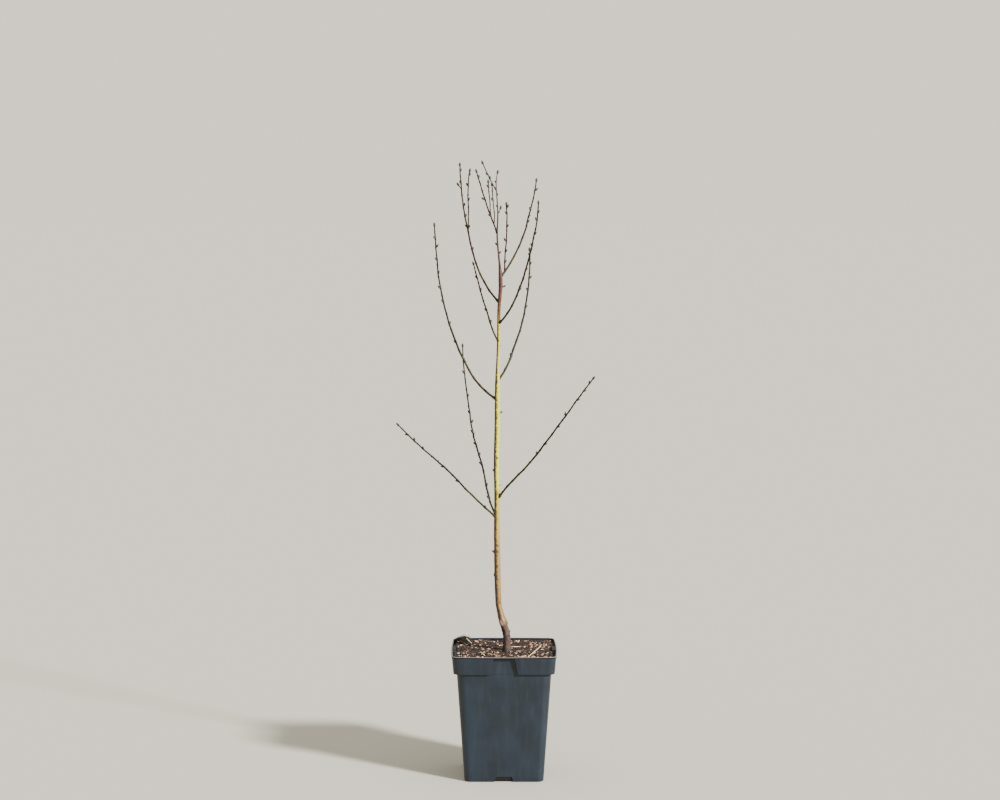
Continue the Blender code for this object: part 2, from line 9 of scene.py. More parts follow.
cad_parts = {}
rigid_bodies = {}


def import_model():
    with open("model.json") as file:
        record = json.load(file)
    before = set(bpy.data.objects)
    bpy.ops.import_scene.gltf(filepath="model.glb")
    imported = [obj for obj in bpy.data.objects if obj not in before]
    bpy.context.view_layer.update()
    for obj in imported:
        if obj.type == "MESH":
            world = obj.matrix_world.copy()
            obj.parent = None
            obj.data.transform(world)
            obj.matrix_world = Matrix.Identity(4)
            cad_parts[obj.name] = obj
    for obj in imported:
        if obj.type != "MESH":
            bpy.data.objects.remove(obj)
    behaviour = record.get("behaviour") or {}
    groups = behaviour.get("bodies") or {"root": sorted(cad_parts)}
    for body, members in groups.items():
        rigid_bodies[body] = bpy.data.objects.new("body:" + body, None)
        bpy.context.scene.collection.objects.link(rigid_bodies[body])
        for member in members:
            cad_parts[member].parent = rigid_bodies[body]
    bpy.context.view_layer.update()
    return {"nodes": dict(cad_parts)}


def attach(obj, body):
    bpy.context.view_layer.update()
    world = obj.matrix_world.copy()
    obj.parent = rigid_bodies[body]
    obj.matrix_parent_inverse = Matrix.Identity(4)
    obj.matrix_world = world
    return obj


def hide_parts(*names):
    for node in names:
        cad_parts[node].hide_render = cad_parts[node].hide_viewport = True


# A young bare nectarine in a deep square pot. Metres, +Z up, the pot's front faces -Y.

for leftover in list(bpy.data.objects):
    bpy.data.objects.remove(leftover, do_unlink=True)

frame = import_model()
print("frame loaded,", len(frame["nodes"]), "nodes")


# Helpers

def hexColour(code):
    linear = []
    for i in (1, 3, 5):
        level = int(code[i:i + 2], 16) / 255
        linear.append(level / 12.92 if level <= 0.04045 else ((level + 0.055) / 1.055) ** 2.4)
    return (*linear, 1.0)


def perMetre(millimetres):
    return 1000 / millimetres  # a texture's scale, from the real size of its pattern


def between(values, share):
    place = min(max(share, 0.0), 1.0) * (len(values) - 1)
    low = min(int(place), len(values) - 2)
    return values[low] + (values[low + 1] - values[low]) * (place - low)


def ease(value):
    value = min(max(value, 0.0), 1.0)
    return value * value * (3 - 2 * value)


def addNode(tree, kind, settings=None, values=None, links=None):
    node = tree.nodes.new(kind)
    for key, value in (settings or {}).items():
        setattr(node, key, value)
    for key, value in (values or {}).items():
        node.inputs[key].default_value = value
    for key, source in (links or {}).items():
        tree.links.new(source, node.inputs[key])
    return node


def setStops(ramp, stops):
    elements = ramp.color_ramp.elements
    while len(elements) > 1:
        elements.remove(elements[-1])
    elements[0].position = stops[0][0]
    elements[0].color = hexColour(stops[0][1])
    for position, code in stops[1:]:
        elements.new(position).color = hexColour(code)


def newMaterial(name, roughness, ior):
    material = bpy.data.materials.new(name)
    material.use_nodes = True
    tree = material.node_tree
    shader = tree.nodes["Principled BSDF"]
    shader.inputs["Roughness"].default_value = roughness
    shader.inputs["IOR"].default_value = ior
    place = addNode(tree, "ShaderNodeTexCoord").outputs["Object"]
    return material, tree, shader, place


def newBag():
    return {"verts": [], "faces": [], "slots": []}


def newPiece(name, bag, materials, smooth=True):
    mesh = bpy.data.meshes.new(name)
    mesh.from_pydata([tuple(vert) for vert in bag["verts"]], [], bag["faces"])
    for material in materials:
        mesh.materials.append(material)
    if bag["slots"]:
        mesh.polygons.foreach_set("material_index", bag["slots"])
    mesh.polygons.foreach_set("use_smooth", [smooth] * len(mesh.polygons))
    mesh.update()
    piece = bpy.data.objects.new(name, mesh)
    bpy.context.scene.collection.objects.link(piece)
    return piece


def settle(piece, slot, *nodes):
    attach(piece, "root")
    if nodes:
        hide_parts(*nodes)
    print(piece.name, "done,", len(piece.data.polygons), "faces")


colourMix = {"data_type": "RGBA"}  # a Mix node's colour sockets: 0 factor, 6 and 7 in, 2 out


# Camera, floor and light

view = {"place": (-0.00774, -4.42, 1.1034), "tilt": -4.875, "lens": 83.28, "sensor": 36, "width": 1000,
        "height": 800}
light = {"turn": 50, "height": 25, "spread": 7, "strength": 14.0, "colour": "#fffaf0",
         "sky": "#f7f0dc", "skyStrength": 1.35, "floor": "#aaa9a4"}


def makeCamera():
    lens = bpy.data.cameras.new("camera")
    lens.lens = view["lens"]
    lens.sensor_width = view["sensor"]
    camera = bpy.data.objects.new("camera", lens)
    camera.location = view["place"]
    camera.rotation_euler = (math.radians(90 + view["tilt"]), 0, 0)
    bpy.context.scene.collection.objects.link(camera)
    bpy.context.scene.camera = camera


def onLevel(across, down, level):
    # the point at a height that the camera sees at that pixel of the picture
    focal = view["lens"] / view["sensor"] * view["width"]
    ray = Vector(((across - view["width"] / 2) / focal, (view["height"] / 2 - down) / focal, -1))
    ray = Matrix.Rotation(math.radians(90 + view["tilt"]), 3, "X") @ ray
    start = Vector(view["place"])
    return start + ray * ((level - start.z) / ray.z)


def makeStudio():
    # A matt painted floor and an even sky of the same tone, so that no line shows between them.
    material, tree, shader, place = newMaterial("mattFloorPaint", 0.95, 1.45)
    shader.inputs["Base Color"].default_value = hexColour(light["floor"])
    shader.inputs["Specular IOR Level"].default_value = 0.0
    reach = 120
    bag = newBag()
    bag["verts"] = [(x * reach, y * reach, -0.0003) for x, y in ((-1, -1), (1, -1), (1, 1), (-1, 1))]
    bag["faces"] = [(0, 1, 2, 3)]
    newPiece("floor", bag, [material], smooth=False)
    sun = bpy.data.lights.new("key", "SUN")
    sun.energy = light["strength"]
    sun.angle = math.radians(light["spread"])
    sun.color = hexColour(light["colour"])[:3]
    lamp = bpy.data.objects.new("key", sun)
    lamp.rotation_euler = Euler((math.radians(90 - light["height"]), 0, math.radians(light["turn"])))
    bpy.context.scene.collection.objects.link(lamp)
    world = bpy.data.worlds.new("sky")
    world.use_nodes = True
    back = world.node_tree.nodes["Background"]
    back.inputs["Color"].default_value = hexColour(light["sky"])
    back.inputs["Strength"].default_value = light["skyStrength"]
    bpy.context.scene.world = world


makeCamera()
makeStudio()
print("camera and studio ready")


# Materials

potFinish = {"base": "#0f1a26", "deep": "#0b141d", "dust": "#4a5560", "rimScuffAndHighlight": "#7b7f88",
             "lipShadowTone": "#0d0c0c", "roughness": 0.45, "ior": 1.49, "grainMm": 0.9, "waveMm": 48, "streakMm": 9, "dustShare": 0.07}


def mouldedPolypropylene():
    # Injection-moulded polypropylene, dyed slate blue: satin, with an eggshell grain from the
    # mould, drawn coarse enough to show, slow waves where panels shrank and faint dried dust in
    # streaks. Above the lip's foot the colour is painted near black with a damped reflection, a
    # painted shadow under the lip, and the lip's top is painted pale, partly as rubbed wear and
    # partly as a painted highlight.
    material, tree, shader, place = newMaterial(
        "mouldedPolypropylene", potFinish["roughness"], potFinish["ior"])
    wave = addNode(tree, "ShaderNodeTexNoise", values={"Scale": perMetre(potFinish["waveMm"]), "Detail": 2.0},
                   links={"Vector": place}).outputs[0]
    tone = addNode(tree, "ShaderNodeMapRange", values={"From Min": 0.35, "From Max": 0.65},
                   links={"Value": wave}).outputs[0]
    plastic = addNode(tree, "ShaderNodeMix", colourMix,
                      {6: hexColour(potFinish["deep"]), 7: hexColour(potFinish["base"])},
                      {0: tone}).outputs[2]
    drawn = addNode(tree, "ShaderNodeMapping", values={"Scale": (1, 1, 0.14)}, links={"Vector": place})
    streak = addNode(tree, "ShaderNodeTexNoise",
                     values={"Scale": perMetre(potFinish["streakMm"]), "Detail": 5.0, "Roughness": 0.62},
                     links={"Vector": drawn.outputs[0]}).outputs[0]
    dusty = addNode(tree, "ShaderNodeMapRange",
                    values={"From Min": 0.50, "From Max": 0.82, "To Max": potFinish["dustShare"]},
                    links={"Value": streak}).outputs[0]
    dusted = addNode(tree, "ShaderNodeMix", colourMix, {7: hexColour(potFinish["dust"])},
                     {0: dusty, 6: plastic}).outputs[2]
    height = addNode(tree, "ShaderNodeSeparateXYZ", links={"Vector": place}).outputs["Z"]
    # painted shadow: above the lip's foot the colour turns near black and the reflection is damped, the shade under
    # the lip
    ledge = addNode(tree, "ShaderNodeMapRange", values={"From Min": 0.2432, "From Max": 0.2436},
                    links={"Value": height}).outputs[0]
    lipShadowed = addNode(tree, "ShaderNodeMix", colourMix, {7: hexColour(potFinish["lipShadowTone"])},
                    {0: ledge, 6: dusted}).outputs[2]
    matt = addNode(tree, "ShaderNodeMapRange",
                   values={"From Min": 0.2432, "From Max": 0.2436, "To Min": 0.36, "To Max": 0.04},
                   links={"Value": height}).outputs[0]
    tree.links.new(matt, shader.inputs["Specular IOR Level"])
    # partly painted highlight: the lip's top is mixed toward pale grey, as rubbed wear and as the light on its
    # rounded edge
    rim = addNode(tree, "ShaderNodeMapRange",
                  values={"From Min": 0.2450, "From Max": 0.2459, "To Max": 0.75},
                  links={"Value": height}).outputs[0]
    rubbedAndLit = addNode(tree, "ShaderNodeMix", colourMix, {7: hexColour(potFinish["rimScuffAndHighlight"])},
                     {0: rim, 6: lipShadowed}).outputs[2]
    tree.links.new(rubbedAndLit, shader.inputs["Base Color"])
    dull = addNode(tree, "ShaderNodeMapRange", values={"To Min": 0.38, "To Max": 0.50},
                   links={"Value": streak}).outputs[0]
    tree.links.new(dull, shader.inputs["Roughness"])
    grain = addNode(tree, "ShaderNodeTexNoise",
                    values={"Scale": perMetre(potFinish["grainMm"]), "Detail": 3.0},
                    links={"Vector": place}).outputs[0]
    eggshell = addNode(tree, "ShaderNodeBump", values={"Strength": 0.16, "Distance": 0.0002},
                       links={"Height": grain})
    shrunk = addNode(tree, "ShaderNodeBump", values={"Strength": 0.30, "Distance": 0.0012},
                     links={"Height": wave, "Normal": eggshell.outputs[0]})
    tree.links.new(shrunk.outputs[0], shader.inputs["Normal"])
    return material


barkFinish = {
    "low": 0.24, "high": 1.17, "roughness": 0.62, "ior": 1.45,
    "paintedLitTones": ((0.0, "#2c2022"), (0.045, "#3a2927"), (0.062, "#5a3a1a"), (0.09, "#6f4d1a"), (0.185, "#785d20"),
              (0.25, "#857222"), (0.31, "#988c1e"), (0.35, "#aaa61c"), (0.50, "#b0ac1e"), (0.66, "#a69c26"),
              (0.70, "#8c6a34"), (0.74, "#6f3c38"), (0.79, "#3f1420"), (0.86, "#280815"), (1.0, "#200610")),
    "paintedShadeTones": ((0.0, "#120d0e"), (0.10, "#1a110b"), (0.20, "#20150a"), (0.33, "#221b0a"), (0.60, "#20190a"),
               (0.70, "#1c0d0a"), (0.80, "#14060a"), (1.0, "#100407")),
    "lenticel": "#5c4020", "crack": "#0c0809", "callus": "#86665a", "knot": "#1d110d", "film": "#6b5f60",
}


def graftedBark():
    # Bark of a young grafted stem: the rough, corky rootstock below, then thin smooth rind that
    # runs from tan over yellow-green to wine red, with lenticels. The side turned from the key light
    # is painted in near-black shade tones and the side facing it in lit tones.
    material, tree, shader, place = newMaterial("graftedBark", barkFinish["roughness"], barkFinish["ior"])
    height = addNode(tree, "ShaderNodeSeparateXYZ", links={"Vector": place}).outputs["Z"]
    drift = addNode(tree, "ShaderNodeTexNoise", values={"Scale": perMetre(26), "Detail": 3.0},
                    links={"Vector": place}).outputs[0]
    drifted = addNode(tree, "ShaderNodeMath", {"operation": "MULTIPLY_ADD"}, {1: 0.05},
                      {0: drift, 2: height}).outputs[0]
    rise = addNode(tree, "ShaderNodeMapRange",
                   values={"From Min": barkFinish["low"] + 0.025, "From Max": barkFinish["high"] + 0.025},
                   links={"Value": drifted}).outputs[0]
    paintedLitTones = addNode(tree, "ShaderNodeValToRGB", links={"Fac": rise})
    setStops(paintedLitTones, barkFinish["paintedLitTones"])
    paintedShadeTones = addNode(tree, "ShaderNodeValToRGB", links={"Fac": rise})
    setStops(paintedShadeTones, barkFinish["paintedShadeTones"])
    # painted shade: this mark is 1 on the side of the stem turned from the key light, where the near-black shade
    # tones are mixed in, and 0 on the lit side
    paintedShadeSide = addNode(tree, "ShaderNodeAttribute", {"attribute_name": "paintedShadeSide"}).outputs["Fac"]
    mottle = addNode(tree, "ShaderNodeTexNoise", values={"Scale": perMetre(5), "Detail": 4.0},
                     links={"Vector": place}).outputs[0]
    uneven = addNode(tree, "ShaderNodeMath", {"operation": "MULTIPLY_ADD"}, {1: 0.75},
                     {0: mottle, 2: paintedShadeSide}).outputs[0]
    side = addNode(tree, "ShaderNodeMapRange", {"interpolation_type": "SMOOTHSTEP"},
                   {"From Min": 0.40, "From Max": 0.80}, {"Value": uneven}).outputs[0]
    rind = addNode(tree, "ShaderNodeMix", colourMix,
                   links={0: side, 6: paintedLitTones.outputs[0], 7: paintedShadeTones.outputs[0]}).outputs[2]
    drawn = addNode(tree, "ShaderNodeMapping", values={"Scale": (1, 1, 0.22)}, links={"Vector": place})
    streak = addNode(tree, "ShaderNodeTexNoise", values={"Scale": perMetre(2.2), "Detail": 5.0},
                     links={"Vector": drawn.outputs[0]}).outputs[0]
    streaky = addNode(tree, "ShaderNodeMapRange", values={"From Min": 0.50, "From Max": 0.75, "To Max": 0.42},
                      links={"Value": streak}).outputs[0]
    lined = addNode(tree, "ShaderNodeMix", colourMix, {7: hexColour(barkFinish["lenticel"])},
                    {0: streaky, 6: rind}).outputs[2]
    flat = addNode(tree, "ShaderNodeMapping", values={"Scale": (0.45, 0.45, 1)}, links={"Vector": place})
    pores = addNode(tree, "ShaderNodeTexVoronoi", values={"Scale": perMetre(2.6)},
                    links={"Vector": flat.outputs[0]}).outputs[0]
    pore = addNode(tree, "ShaderNodeMapRange", values={"From Min": 0.26, "From Max": 0.12, "To Max": 0.7},
                   links={"Value": pores}).outputs[0]
    spotted = addNode(tree, "ShaderNodeMix", colourMix, {7: hexColour(barkFinish["knot"])},
                      {0: pore, 6: lined}).outputs[2]
    rough = addNode(tree, "ShaderNodeAttribute", {"attribute_name": "corky"}).outputs["Fac"]
    crumbs = addNode(tree, "ShaderNodeTexNoise", values={"Scale": perMetre(2.6), "Detail": 6.0, "Roughness": 0.7},
                     links={"Vector": drawn.outputs[0]}).outputs[0]
    cracks = addNode(tree, "ShaderNodeMapRange", values={"From Min": 0.46, "From Max": 0.36},
                     links={"Value": crumbs}).outputs[0]
    cracked = addNode(tree, "ShaderNodeMath", {"operation": "MULTIPLY"}, links={0: cracks, 1: rough}).outputs[0]
    corky = addNode(tree, "ShaderNodeMix", colourMix, {7: hexColour(barkFinish["crack"])},
                    {0: cracked, 6: spotted}).outputs[2]
    pale = addNode(tree, "ShaderNodeMapRange", values={"From Min": 0.58, "From Max": 0.70, "To Max": 0.6},
                   links={"Value": crumbs}).outputs[0]
    filmy = addNode(tree, "ShaderNodeMath", {"operation": "MULTIPLY"}, links={0: pale, 1: rough}).outputs[0]
    filmed = addNode(tree, "ShaderNodeMix", colourMix, {7: hexColour(barkFinish["film"])},
                     {0: filmy, 6: corky}).outputs[2]
    scar = addNode(tree, "ShaderNodeAttribute", {"attribute_name": "scar"}).outputs["Fac"]
    healed = addNode(tree, "ShaderNodeMix", colourMix, {7: hexColour(barkFinish["callus"])},
                     {0: scar, 6: filmed}).outputs[2]
    knot = addNode(tree, "ShaderNodeAttribute", {"attribute_name": "knot"}).outputs["Fac"]
    knotted = addNode(tree, "ShaderNodeMix", colourMix, {7: hexColour(barkFinish["knot"])},
                      {0: knot, 6: healed}).outputs[2]
    tree.links.new(knotted, shader.inputs["Base Color"])
    dull = addNode(tree, "ShaderNodeMapRange", values={"To Min": 0.50, "To Max": 0.85},
                   links={"Value": rough}).outputs[0]
    tree.links.new(dull, shader.inputs["Roughness"])
    fine = addNode(tree, "ShaderNodeBump", values={"Strength": 0.5, "Distance": 0.00025},
                   links={"Height": streak})
    coarse = addNode(tree, "ShaderNodeBump", values={"Distance": 0.0009},
                     links={"Strength": rough, "Height": crumbs, "Normal": fine.outputs[0]})
    tree.links.new(coarse.outputs[0], shader.inputs["Normal"])
    return material


def shootRind(name, light, dark, wax):
    # The thin rind of last summer's shoots: smooth and slightly waxy, wrinkled along its length
    # where it dried, with pale specks of lenticels.
    material, tree, shader, place = newMaterial(name, 0.52, 1.45)
    shader.inputs["Specular IOR Level"].default_value = 0.18
    patch = addNode(tree, "ShaderNodeTexNoise", values={"Scale": perMetre(9), "Detail": 4.0},
                    links={"Vector": place}).outputs[0]
    patchy = addNode(tree, "ShaderNodeMapRange", values={"From Min": 0.36, "From Max": 0.66},
                     links={"Value": patch}).outputs[0]
    rind = addNode(tree, "ShaderNodeMix", colourMix, {6: hexColour(dark), 7: hexColour(light)},
                   {0: patchy}).outputs[2]
    specks = addNode(tree, "ShaderNodeTexVoronoi", values={"Scale": perMetre(1.9)},
                     links={"Vector": place}).outputs[0]
    speck = addNode(tree, "ShaderNodeMapRange", values={"From Min": 0.24, "From Max": 0.12, "To Max": 0.6},
                    links={"Value": specks}).outputs[0]
    speckled = addNode(tree, "ShaderNodeMix", colourMix, {7: hexColour(wax)}, {0: speck, 6: rind}).outputs[2]
    tree.links.new(speckled, shader.inputs["Base Color"])
    wrinkle = addNode(tree, "ShaderNodeTexNoise", values={"Scale": perMetre(0.8), "Detail": 3.0},
                      links={"Vector": place}).outputs[0]
    bump = addNode(tree, "ShaderNodeBump", values={"Strength": 0.4, "Distance": 0.0001},
                   links={"Height": wrinkle})
    tree.links.new(bump.outputs[0], shader.inputs["Normal"])
    return material


def mottled(name, light, dark, patchMm, roughness, bumpMm, relief):
    # Matt natural stuff in two tones: soaked bark compost, chips of bark and wood, coir and
    # straw. The tones are the damp and the dry, and the relief is the torn grain.
    material, tree, shader, place = newMaterial(name, roughness, 1.45)
    patch = addNode(tree, "ShaderNodeTexNoise", values={"Scale": perMetre(patchMm), "Detail": 4.0},
                    links={"Vector": place}).outputs[0]
    patchy = addNode(tree, "ShaderNodeMapRange", values={"From Min": 0.38, "From Max": 0.64},
                     links={"Value": patch}).outputs[0]
    tone = addNode(tree, "ShaderNodeMix", colourMix, {6: hexColour(dark), 7: hexColour(light)},
                   {0: patchy}).outputs[2]
    tree.links.new(tone, shader.inputs["Base Color"])
    grain = addNode(tree, "ShaderNodeTexNoise", values={"Scale": perMetre(bumpMm), "Detail": 5.0},
                    links={"Vector": place}).outputs[0]
    bump = addNode(tree, "ShaderNodeBump", values={"Strength": 0.7, "Distance": relief},
                   links={"Height": grain})
    tree.links.new(bump.outputs[0], shader.inputs["Normal"])
    return material


potPlastic = mouldedPolypropylene()
stemBark = graftedBark()
oliveRind = shootRind("oliveShootRind", "#2c2b0a", "#141407", "#3a3519")
greyRind = shootRind("greyBrownShootRind", "#100e0a", "#070605", "#211d17")
plumRind = shootRind("plumShootRind", "#21050d", "#100307", "#32131a")
budScale = mottled("budScaleRind", "#170c0c", "#080405", 1.6, 0.6, 0.5, 0.0001)
wetCompost = mottled("wetBarkCompost", "#130c0a", "#070403", 6, 0.9, 1.2, 0.0012)
darkChip = mottled("soakedBarkChip", "#20130f", "#090505", 5, 0.82, 0.9, 0.0004)
brownChip = mottled("fibrousBarkChip", "#432a20", "#1b0f0b", 4, 0.85, 0.8, 0.0004)
paleChip = mottled("drySplitWoodChip", "#dcb8a4", "#8a6454", 5, 0.8, 0.7, 0.0003)
coir = mottled("coirFibre", "#341f15", "#160d09", 6, 0.8, 0.6, 0.0001)
blackRoot = mottled("blackMattedFibre", "#17110e", "#090706", 5, 0.85, 0.6, 0.0001)
straw = mottled("dryStraw", "#e3d8b8", "#bfae84", 4, 0.6, 0.6, 0.0001)
print("materials ready")


# Pot

pot = {
    "height": 0.246, "wall": 0.0016, "floor": 0.0020, "footHalf": 0.0758, "footRound": 0.0013,
    "shoulderHalf": 0.0902, "skirtFootHalf": 0.0966, "skirtTopHalf": 0.0992, "lipHalf": 0.1000,
    "lipHeight": 0.0026, "skirtHeight": 0.0345, "footCorner": 0.012, "bodyCorner": 0.017,
    "skirtCorner": 0.014, "rimBow": 0.0025, "shoulderBow": 0.0008,
    "recessTopWidth": 0.039, "recessFootWidth": 0.0516, "recessFootHalf": 0.0917, "recessTopHalf": 0.0938,
    "cornerSteps": 9, "sideSteps": 6, "bodyLevels": 26, "skirtLevels": 8,
    "recessEdge": ((0.0014, 0.0), (0.0006, 0.03), (0.0002, 0.22), (-0.0001, 0.78), (-0.0004, 0.97),
                   (-0.0012, 1.0)),
    "lipRound": 0.0009, "underLip": 0.0004, "edgeRound": 0.0006,
    "slotFootWidth": 0.037, "slotTopWidth": 0.031, "slotHeight": 0.0098, "slotInner": 0.050,
    "slotRound": 0.0022, "gap": 0.0003,
}
shoulder = pot["height"] - pot["skirtHeight"]
lipFoot = pot["height"] - pot["lipHeight"]


def recessAt(height):
    share = (height - shoulder) / (lipFoot - shoulder)
    width = pot["recessFootWidth"] + (pot["recessTopWidth"] - pot["recessFootWidth"]) * share
    half = pot["recessFootHalf"] + (pot["recessTopHalf"] - pot["recessFootHalf"]) * share
    return min(width, pot["recessFootWidth"]), half


def potOutline(height, half, corner, bow, recessed, inset):
    # One level, anticlockwise from above. Inset moves the recess in with the inner wall.
    width, recessHalf = recessAt(max(height, shoulder))
    edge = width / 2 + inset
    straight = half - corner
    reach = pot["recessEdge"][0][0]
    steps = pot["sideSteps"]
    left = [(-straight + (straight - edge - reach) * k / steps, 0.0) for k in range(steps)]
    left += [(-edge - away, depth) for away, depth in pot["recessEdge"]]
    left += [(-edge * share, 1.0) for share in (0.8, 0.5, 0.2)]
    right = [(-across, depth) for across, depth in reversed(left[1:])]
    points = []
    for side in range(4):
        turn = Matrix.Rotation(side * math.pi / 2, 2)
        for across, depth in left + right:
            share = across / straight
            outer = half + bow * (1 - share * share)
            if recessed:
                outer += (recessHalf - inset - outer) * depth
            points.append(turn @ Vector((outer, across)))
        for step in range(pot["cornerSteps"]):
            angle = math.pi / 2 * step / pot["cornerSteps"]
            arc = Vector((math.cos(angle), math.sin(angle))) * corner
            points.append(turn @ (Vector((straight, straight)) + arc))
    return points


def arc(height, half, radius, start, end, steps):
    # heights and half widths round an edge, from one angle of its circle to another
    levels = []
    for step in range(steps + 1):
        angle = math.radians(start + (end - start) * step / steps)
        levels.append((height + radius * math.sin(angle), half + radius * math.cos(angle)))
    return levels


def innerLevels(inset):
    # the inside from the floor up to just under the rim: height, half, corner, bow, recessed
    ledge = shoulder + inset
    levels = [(pot["floor"] + inset - pot["wall"], pot["footHalf"] - inset, pot["footCorner"] - inset, 0.0, False)]
    for step in range(1, 9):
        share = step / 8
        levels.append((
            pot["floor"] + (ledge - pot["floor"]) * share,
            pot["footHalf"] + (pot["shoulderHalf"] - pot["footHalf"]) * share - inset,
            pot["footCorner"] + (pot["bodyCorner"] - pot["footCorner"]) * share - inset,
            pot["shoulderBow"] * share, False))
    levels.append((ledge + 0.0001, pot["skirtFootHalf"] - inset, pot["skirtCorner"] - inset,
                   pot["shoulderBow"], True))
    return levels


def skirtLevel(height, recessed, inset):
    share = (height - shoulder) / (lipFoot - shoulder)
    half = pot["skirtFootHalf"] + (pot["skirtTopHalf"] - pot["skirtFootHalf"]) * min(share, 1.0)
    bow = pot["shoulderBow"] + (pot["rimBow"] - pot["shoulderBow"]) * min(share, 1.0)
    return (height, half - inset, pot["skirtCorner"] - inset, bow, recessed)


def outerLevels():
    rounding = pot["footRound"]
    levels = []
    for height, half in arc(rounding, pot["footHalf"] - rounding, rounding, -90, 0, 4):
        levels.append((height, half, pot["footCorner"], 0.0, False))
    for step in range(1, pot["bodyLevels"] + 1):
        share = step / pot["bodyLevels"]
        levels.append((
            rounding + (shoulder - 0.0009 - rounding) * share,
            pot["footHalf"] + (pot["shoulderHalf"] - pot["footHalf"]) * share,
            pot["footCorner"] + (pot["bodyCorner"] - pot["footCorner"]) * share,
            pot["shoulderBow"] * share, False))
    fillet = 0.0007
    for height, half in arc(shoulder - fillet, pot["shoulderHalf"] + fillet, fillet, 180, 90, 3):
        levels.append((height, half, pot["bodyCorner"], pot["shoulderBow"], False))
    edge = pot["edgeRound"]
    for height, half in arc(shoulder + edge, pot["skirtFootHalf"] - edge, edge, -90, 0, 3):
        levels.append((height, half, pot["skirtCorner"], pot["shoulderBow"], True))
    low = shoulder + edge
    for step in range(1, pot["skirtLevels"] + 1):
        levels.append(skirtLevel(low + (lipFoot - low) * step / pot["skirtLevels"], True, 0.0))
    levels.append(skirtLevel(lipFoot, False, 0.0))
    under = pot["underLip"]
    for height, half in arc(lipFoot + under, pot["lipHalf"] - under, under, -80, 0, 3):
        levels.append((height, half, pot["skirtCorner"], pot["rimBow"], False))
    round_ = pot["lipRound"]
    for height, half in arc(pot["height"] - round_, pot["lipHalf"] - round_, round_, 0, 90, 5):
        levels.append((height, half, pot["skirtCorner"], pot["rimBow"], False))
    return levels


def rimAndInside():
    inner = pot["skirtTopHalf"] - pot["wall"]
    corner = pot["skirtCorner"] - pot["wall"]
    edge = pot["edgeRound"]
    levels = []
    for height, half in arc(pot["height"] - edge, inner + edge, edge, 90, 180, 3):
        levels.append((height, half, corner, pot["rimBow"], False))
    ceiling = lipFoot + pot["wall"] - 0.0002
    levels.append((ceiling, inner, corner, pot["rimBow"], False))
    for height in (ceiling, lipFoot, lipFoot - 0.004, lipFoot - 0.012, lipFoot - 0.020):
        levels.append(skirtLevel(height, True, pot["wall"]))
    return levels + list(reversed(innerLevels(pot["wall"])))


def loft(levels, inset=0.0, firstInner=None):
    bag = newBag()
    rings = []
    for number, (height, half, corner, bow, recessed) in enumerate(levels):
        deep = inset if firstInner is None or number >= firstInner else 0.0
        ring = []
        for point in potOutline(height, half, corner, bow, recessed, deep):
            ring.append(len(bag["verts"]))
            bag["verts"].append((point.x, point.y, height))
        rings.append(ring)
    count = len(rings[0])
    for lower, upper in zip(rings, rings[1:]):
        for i in range(count):
            j = (i + 1) % count
            bag["faces"].append((lower[i], lower[j], upper[j], upper[i]))
    bag["faces"].append(tuple(reversed(rings[0])))
    bag["faces"].append(tuple(rings[-1]))
    return bag, rings


def slotBlock(side):
    # a rounded trapezium, pushed through the wall and the edge of the floor
    outline = [(-pot["slotFootWidth"] / 2 - 0.0006, -0.002), (pot["slotFootWidth"] / 2 + 0.0006, -0.002)]
    rounding = pot["slotRound"]
    for turn, sign in ((0, 1), (90, -1)):
        centre = (sign * (pot["slotTopWidth"] / 2 - rounding), pot["slotHeight"] - rounding)
        for step in range(6):
            angle = math.radians(turn + 90 * step / 5)
            outline.append((centre[0] + rounding * math.cos(angle), centre[1] + rounding * math.sin(angle)))
    bag = newBag()
    turned = Matrix.Rotation(side * math.pi / 2, 3, "Z")
    for reach in (pot["slotInner"], pot["lipHalf"]):
        for across, height in outline:
            bag["verts"].append(turned @ Vector((reach, across, height)))
    count = len(outline)
    for i in range(count):
        j = (i + 1) % count
        bag["faces"].append((i, j, count + j, count + i))
    bag["faces"].append(tuple(reversed(range(count))))
    bag["faces"].append(tuple(range(count, 2 * count)))
    block = newPiece("slotBlock", bag, [])
    shape = bmesh.new()
    shape.from_mesh(block.data)
    bmesh.ops.recalc_face_normals(shape, faces=shape.faces)
    shape.to_mesh(block.data)
    shape.free()
    return block


def plainMesh(thing):
    bpy.context.view_layer.update()
    return bpy.data.meshes.new_from_object(thing.evaluated_get(bpy.context.evaluated_depsgraph_get()))


def makePot():
    outer = outerLevels()
    bag, rings = loft(outer + rimAndInside(), pot["wall"], len(outer))
    shell = newPiece("potShell", bag, [potPlastic])
    shape = bmesh.new()
    shape.from_mesh(shell.data)
    bmesh.ops.remove_doubles(shape, verts=shape.verts, dist=0.000002)
    bmesh.ops.recalc_face_normals(shape, faces=shape.faces)
    shape.to_mesh(shell.data)
    shape.free()
    blocks = [slotBlock(side) for side in range(4)]
    for block in blocks:
        cut = shell.modifiers.new("slot", "BOOLEAN")
        cut.operation = "DIFFERENCE"
        cut.solver = "EXACT"
        cut.object = block
    mesh = plainMesh(shell)
    for thing in blocks + [shell]:
        bpy.data.objects.remove(thing, do_unlink=True)
    mesh.materials.clear()
    mesh.materials.append(potPlastic)
    mesh.polygons.foreach_set("material_index", [0] * len(mesh.polygons))
    mesh.shade_smooth()
    mesh.set_sharp_from_angle(angle=math.radians(34))
    mesh.name = "nurseryPot"
    piece = bpy.data.objects.new("nurseryPot", mesh)
    bpy.context.scene.collection.objects.link(piece)
    settle(piece, "pot_plastic", "pot")


makePot()


# Compost

compost = {
    "level": 0.2415, "relief": 0.0016, "reliefMm": 11, "rings": 44, "shore": 0.955,
    "clumpPlace": (-0.0800, 0.0770), "clumpSize": (0.0150, 0.0092, 0.0100),
    "darkPerSquare": 85000, "brownPerSquare": 27000, "palePerSquare": 9500,
    "fibrePerSquare": 9000, "clumpFibres": 900000, "clumpChips": 90000,
}


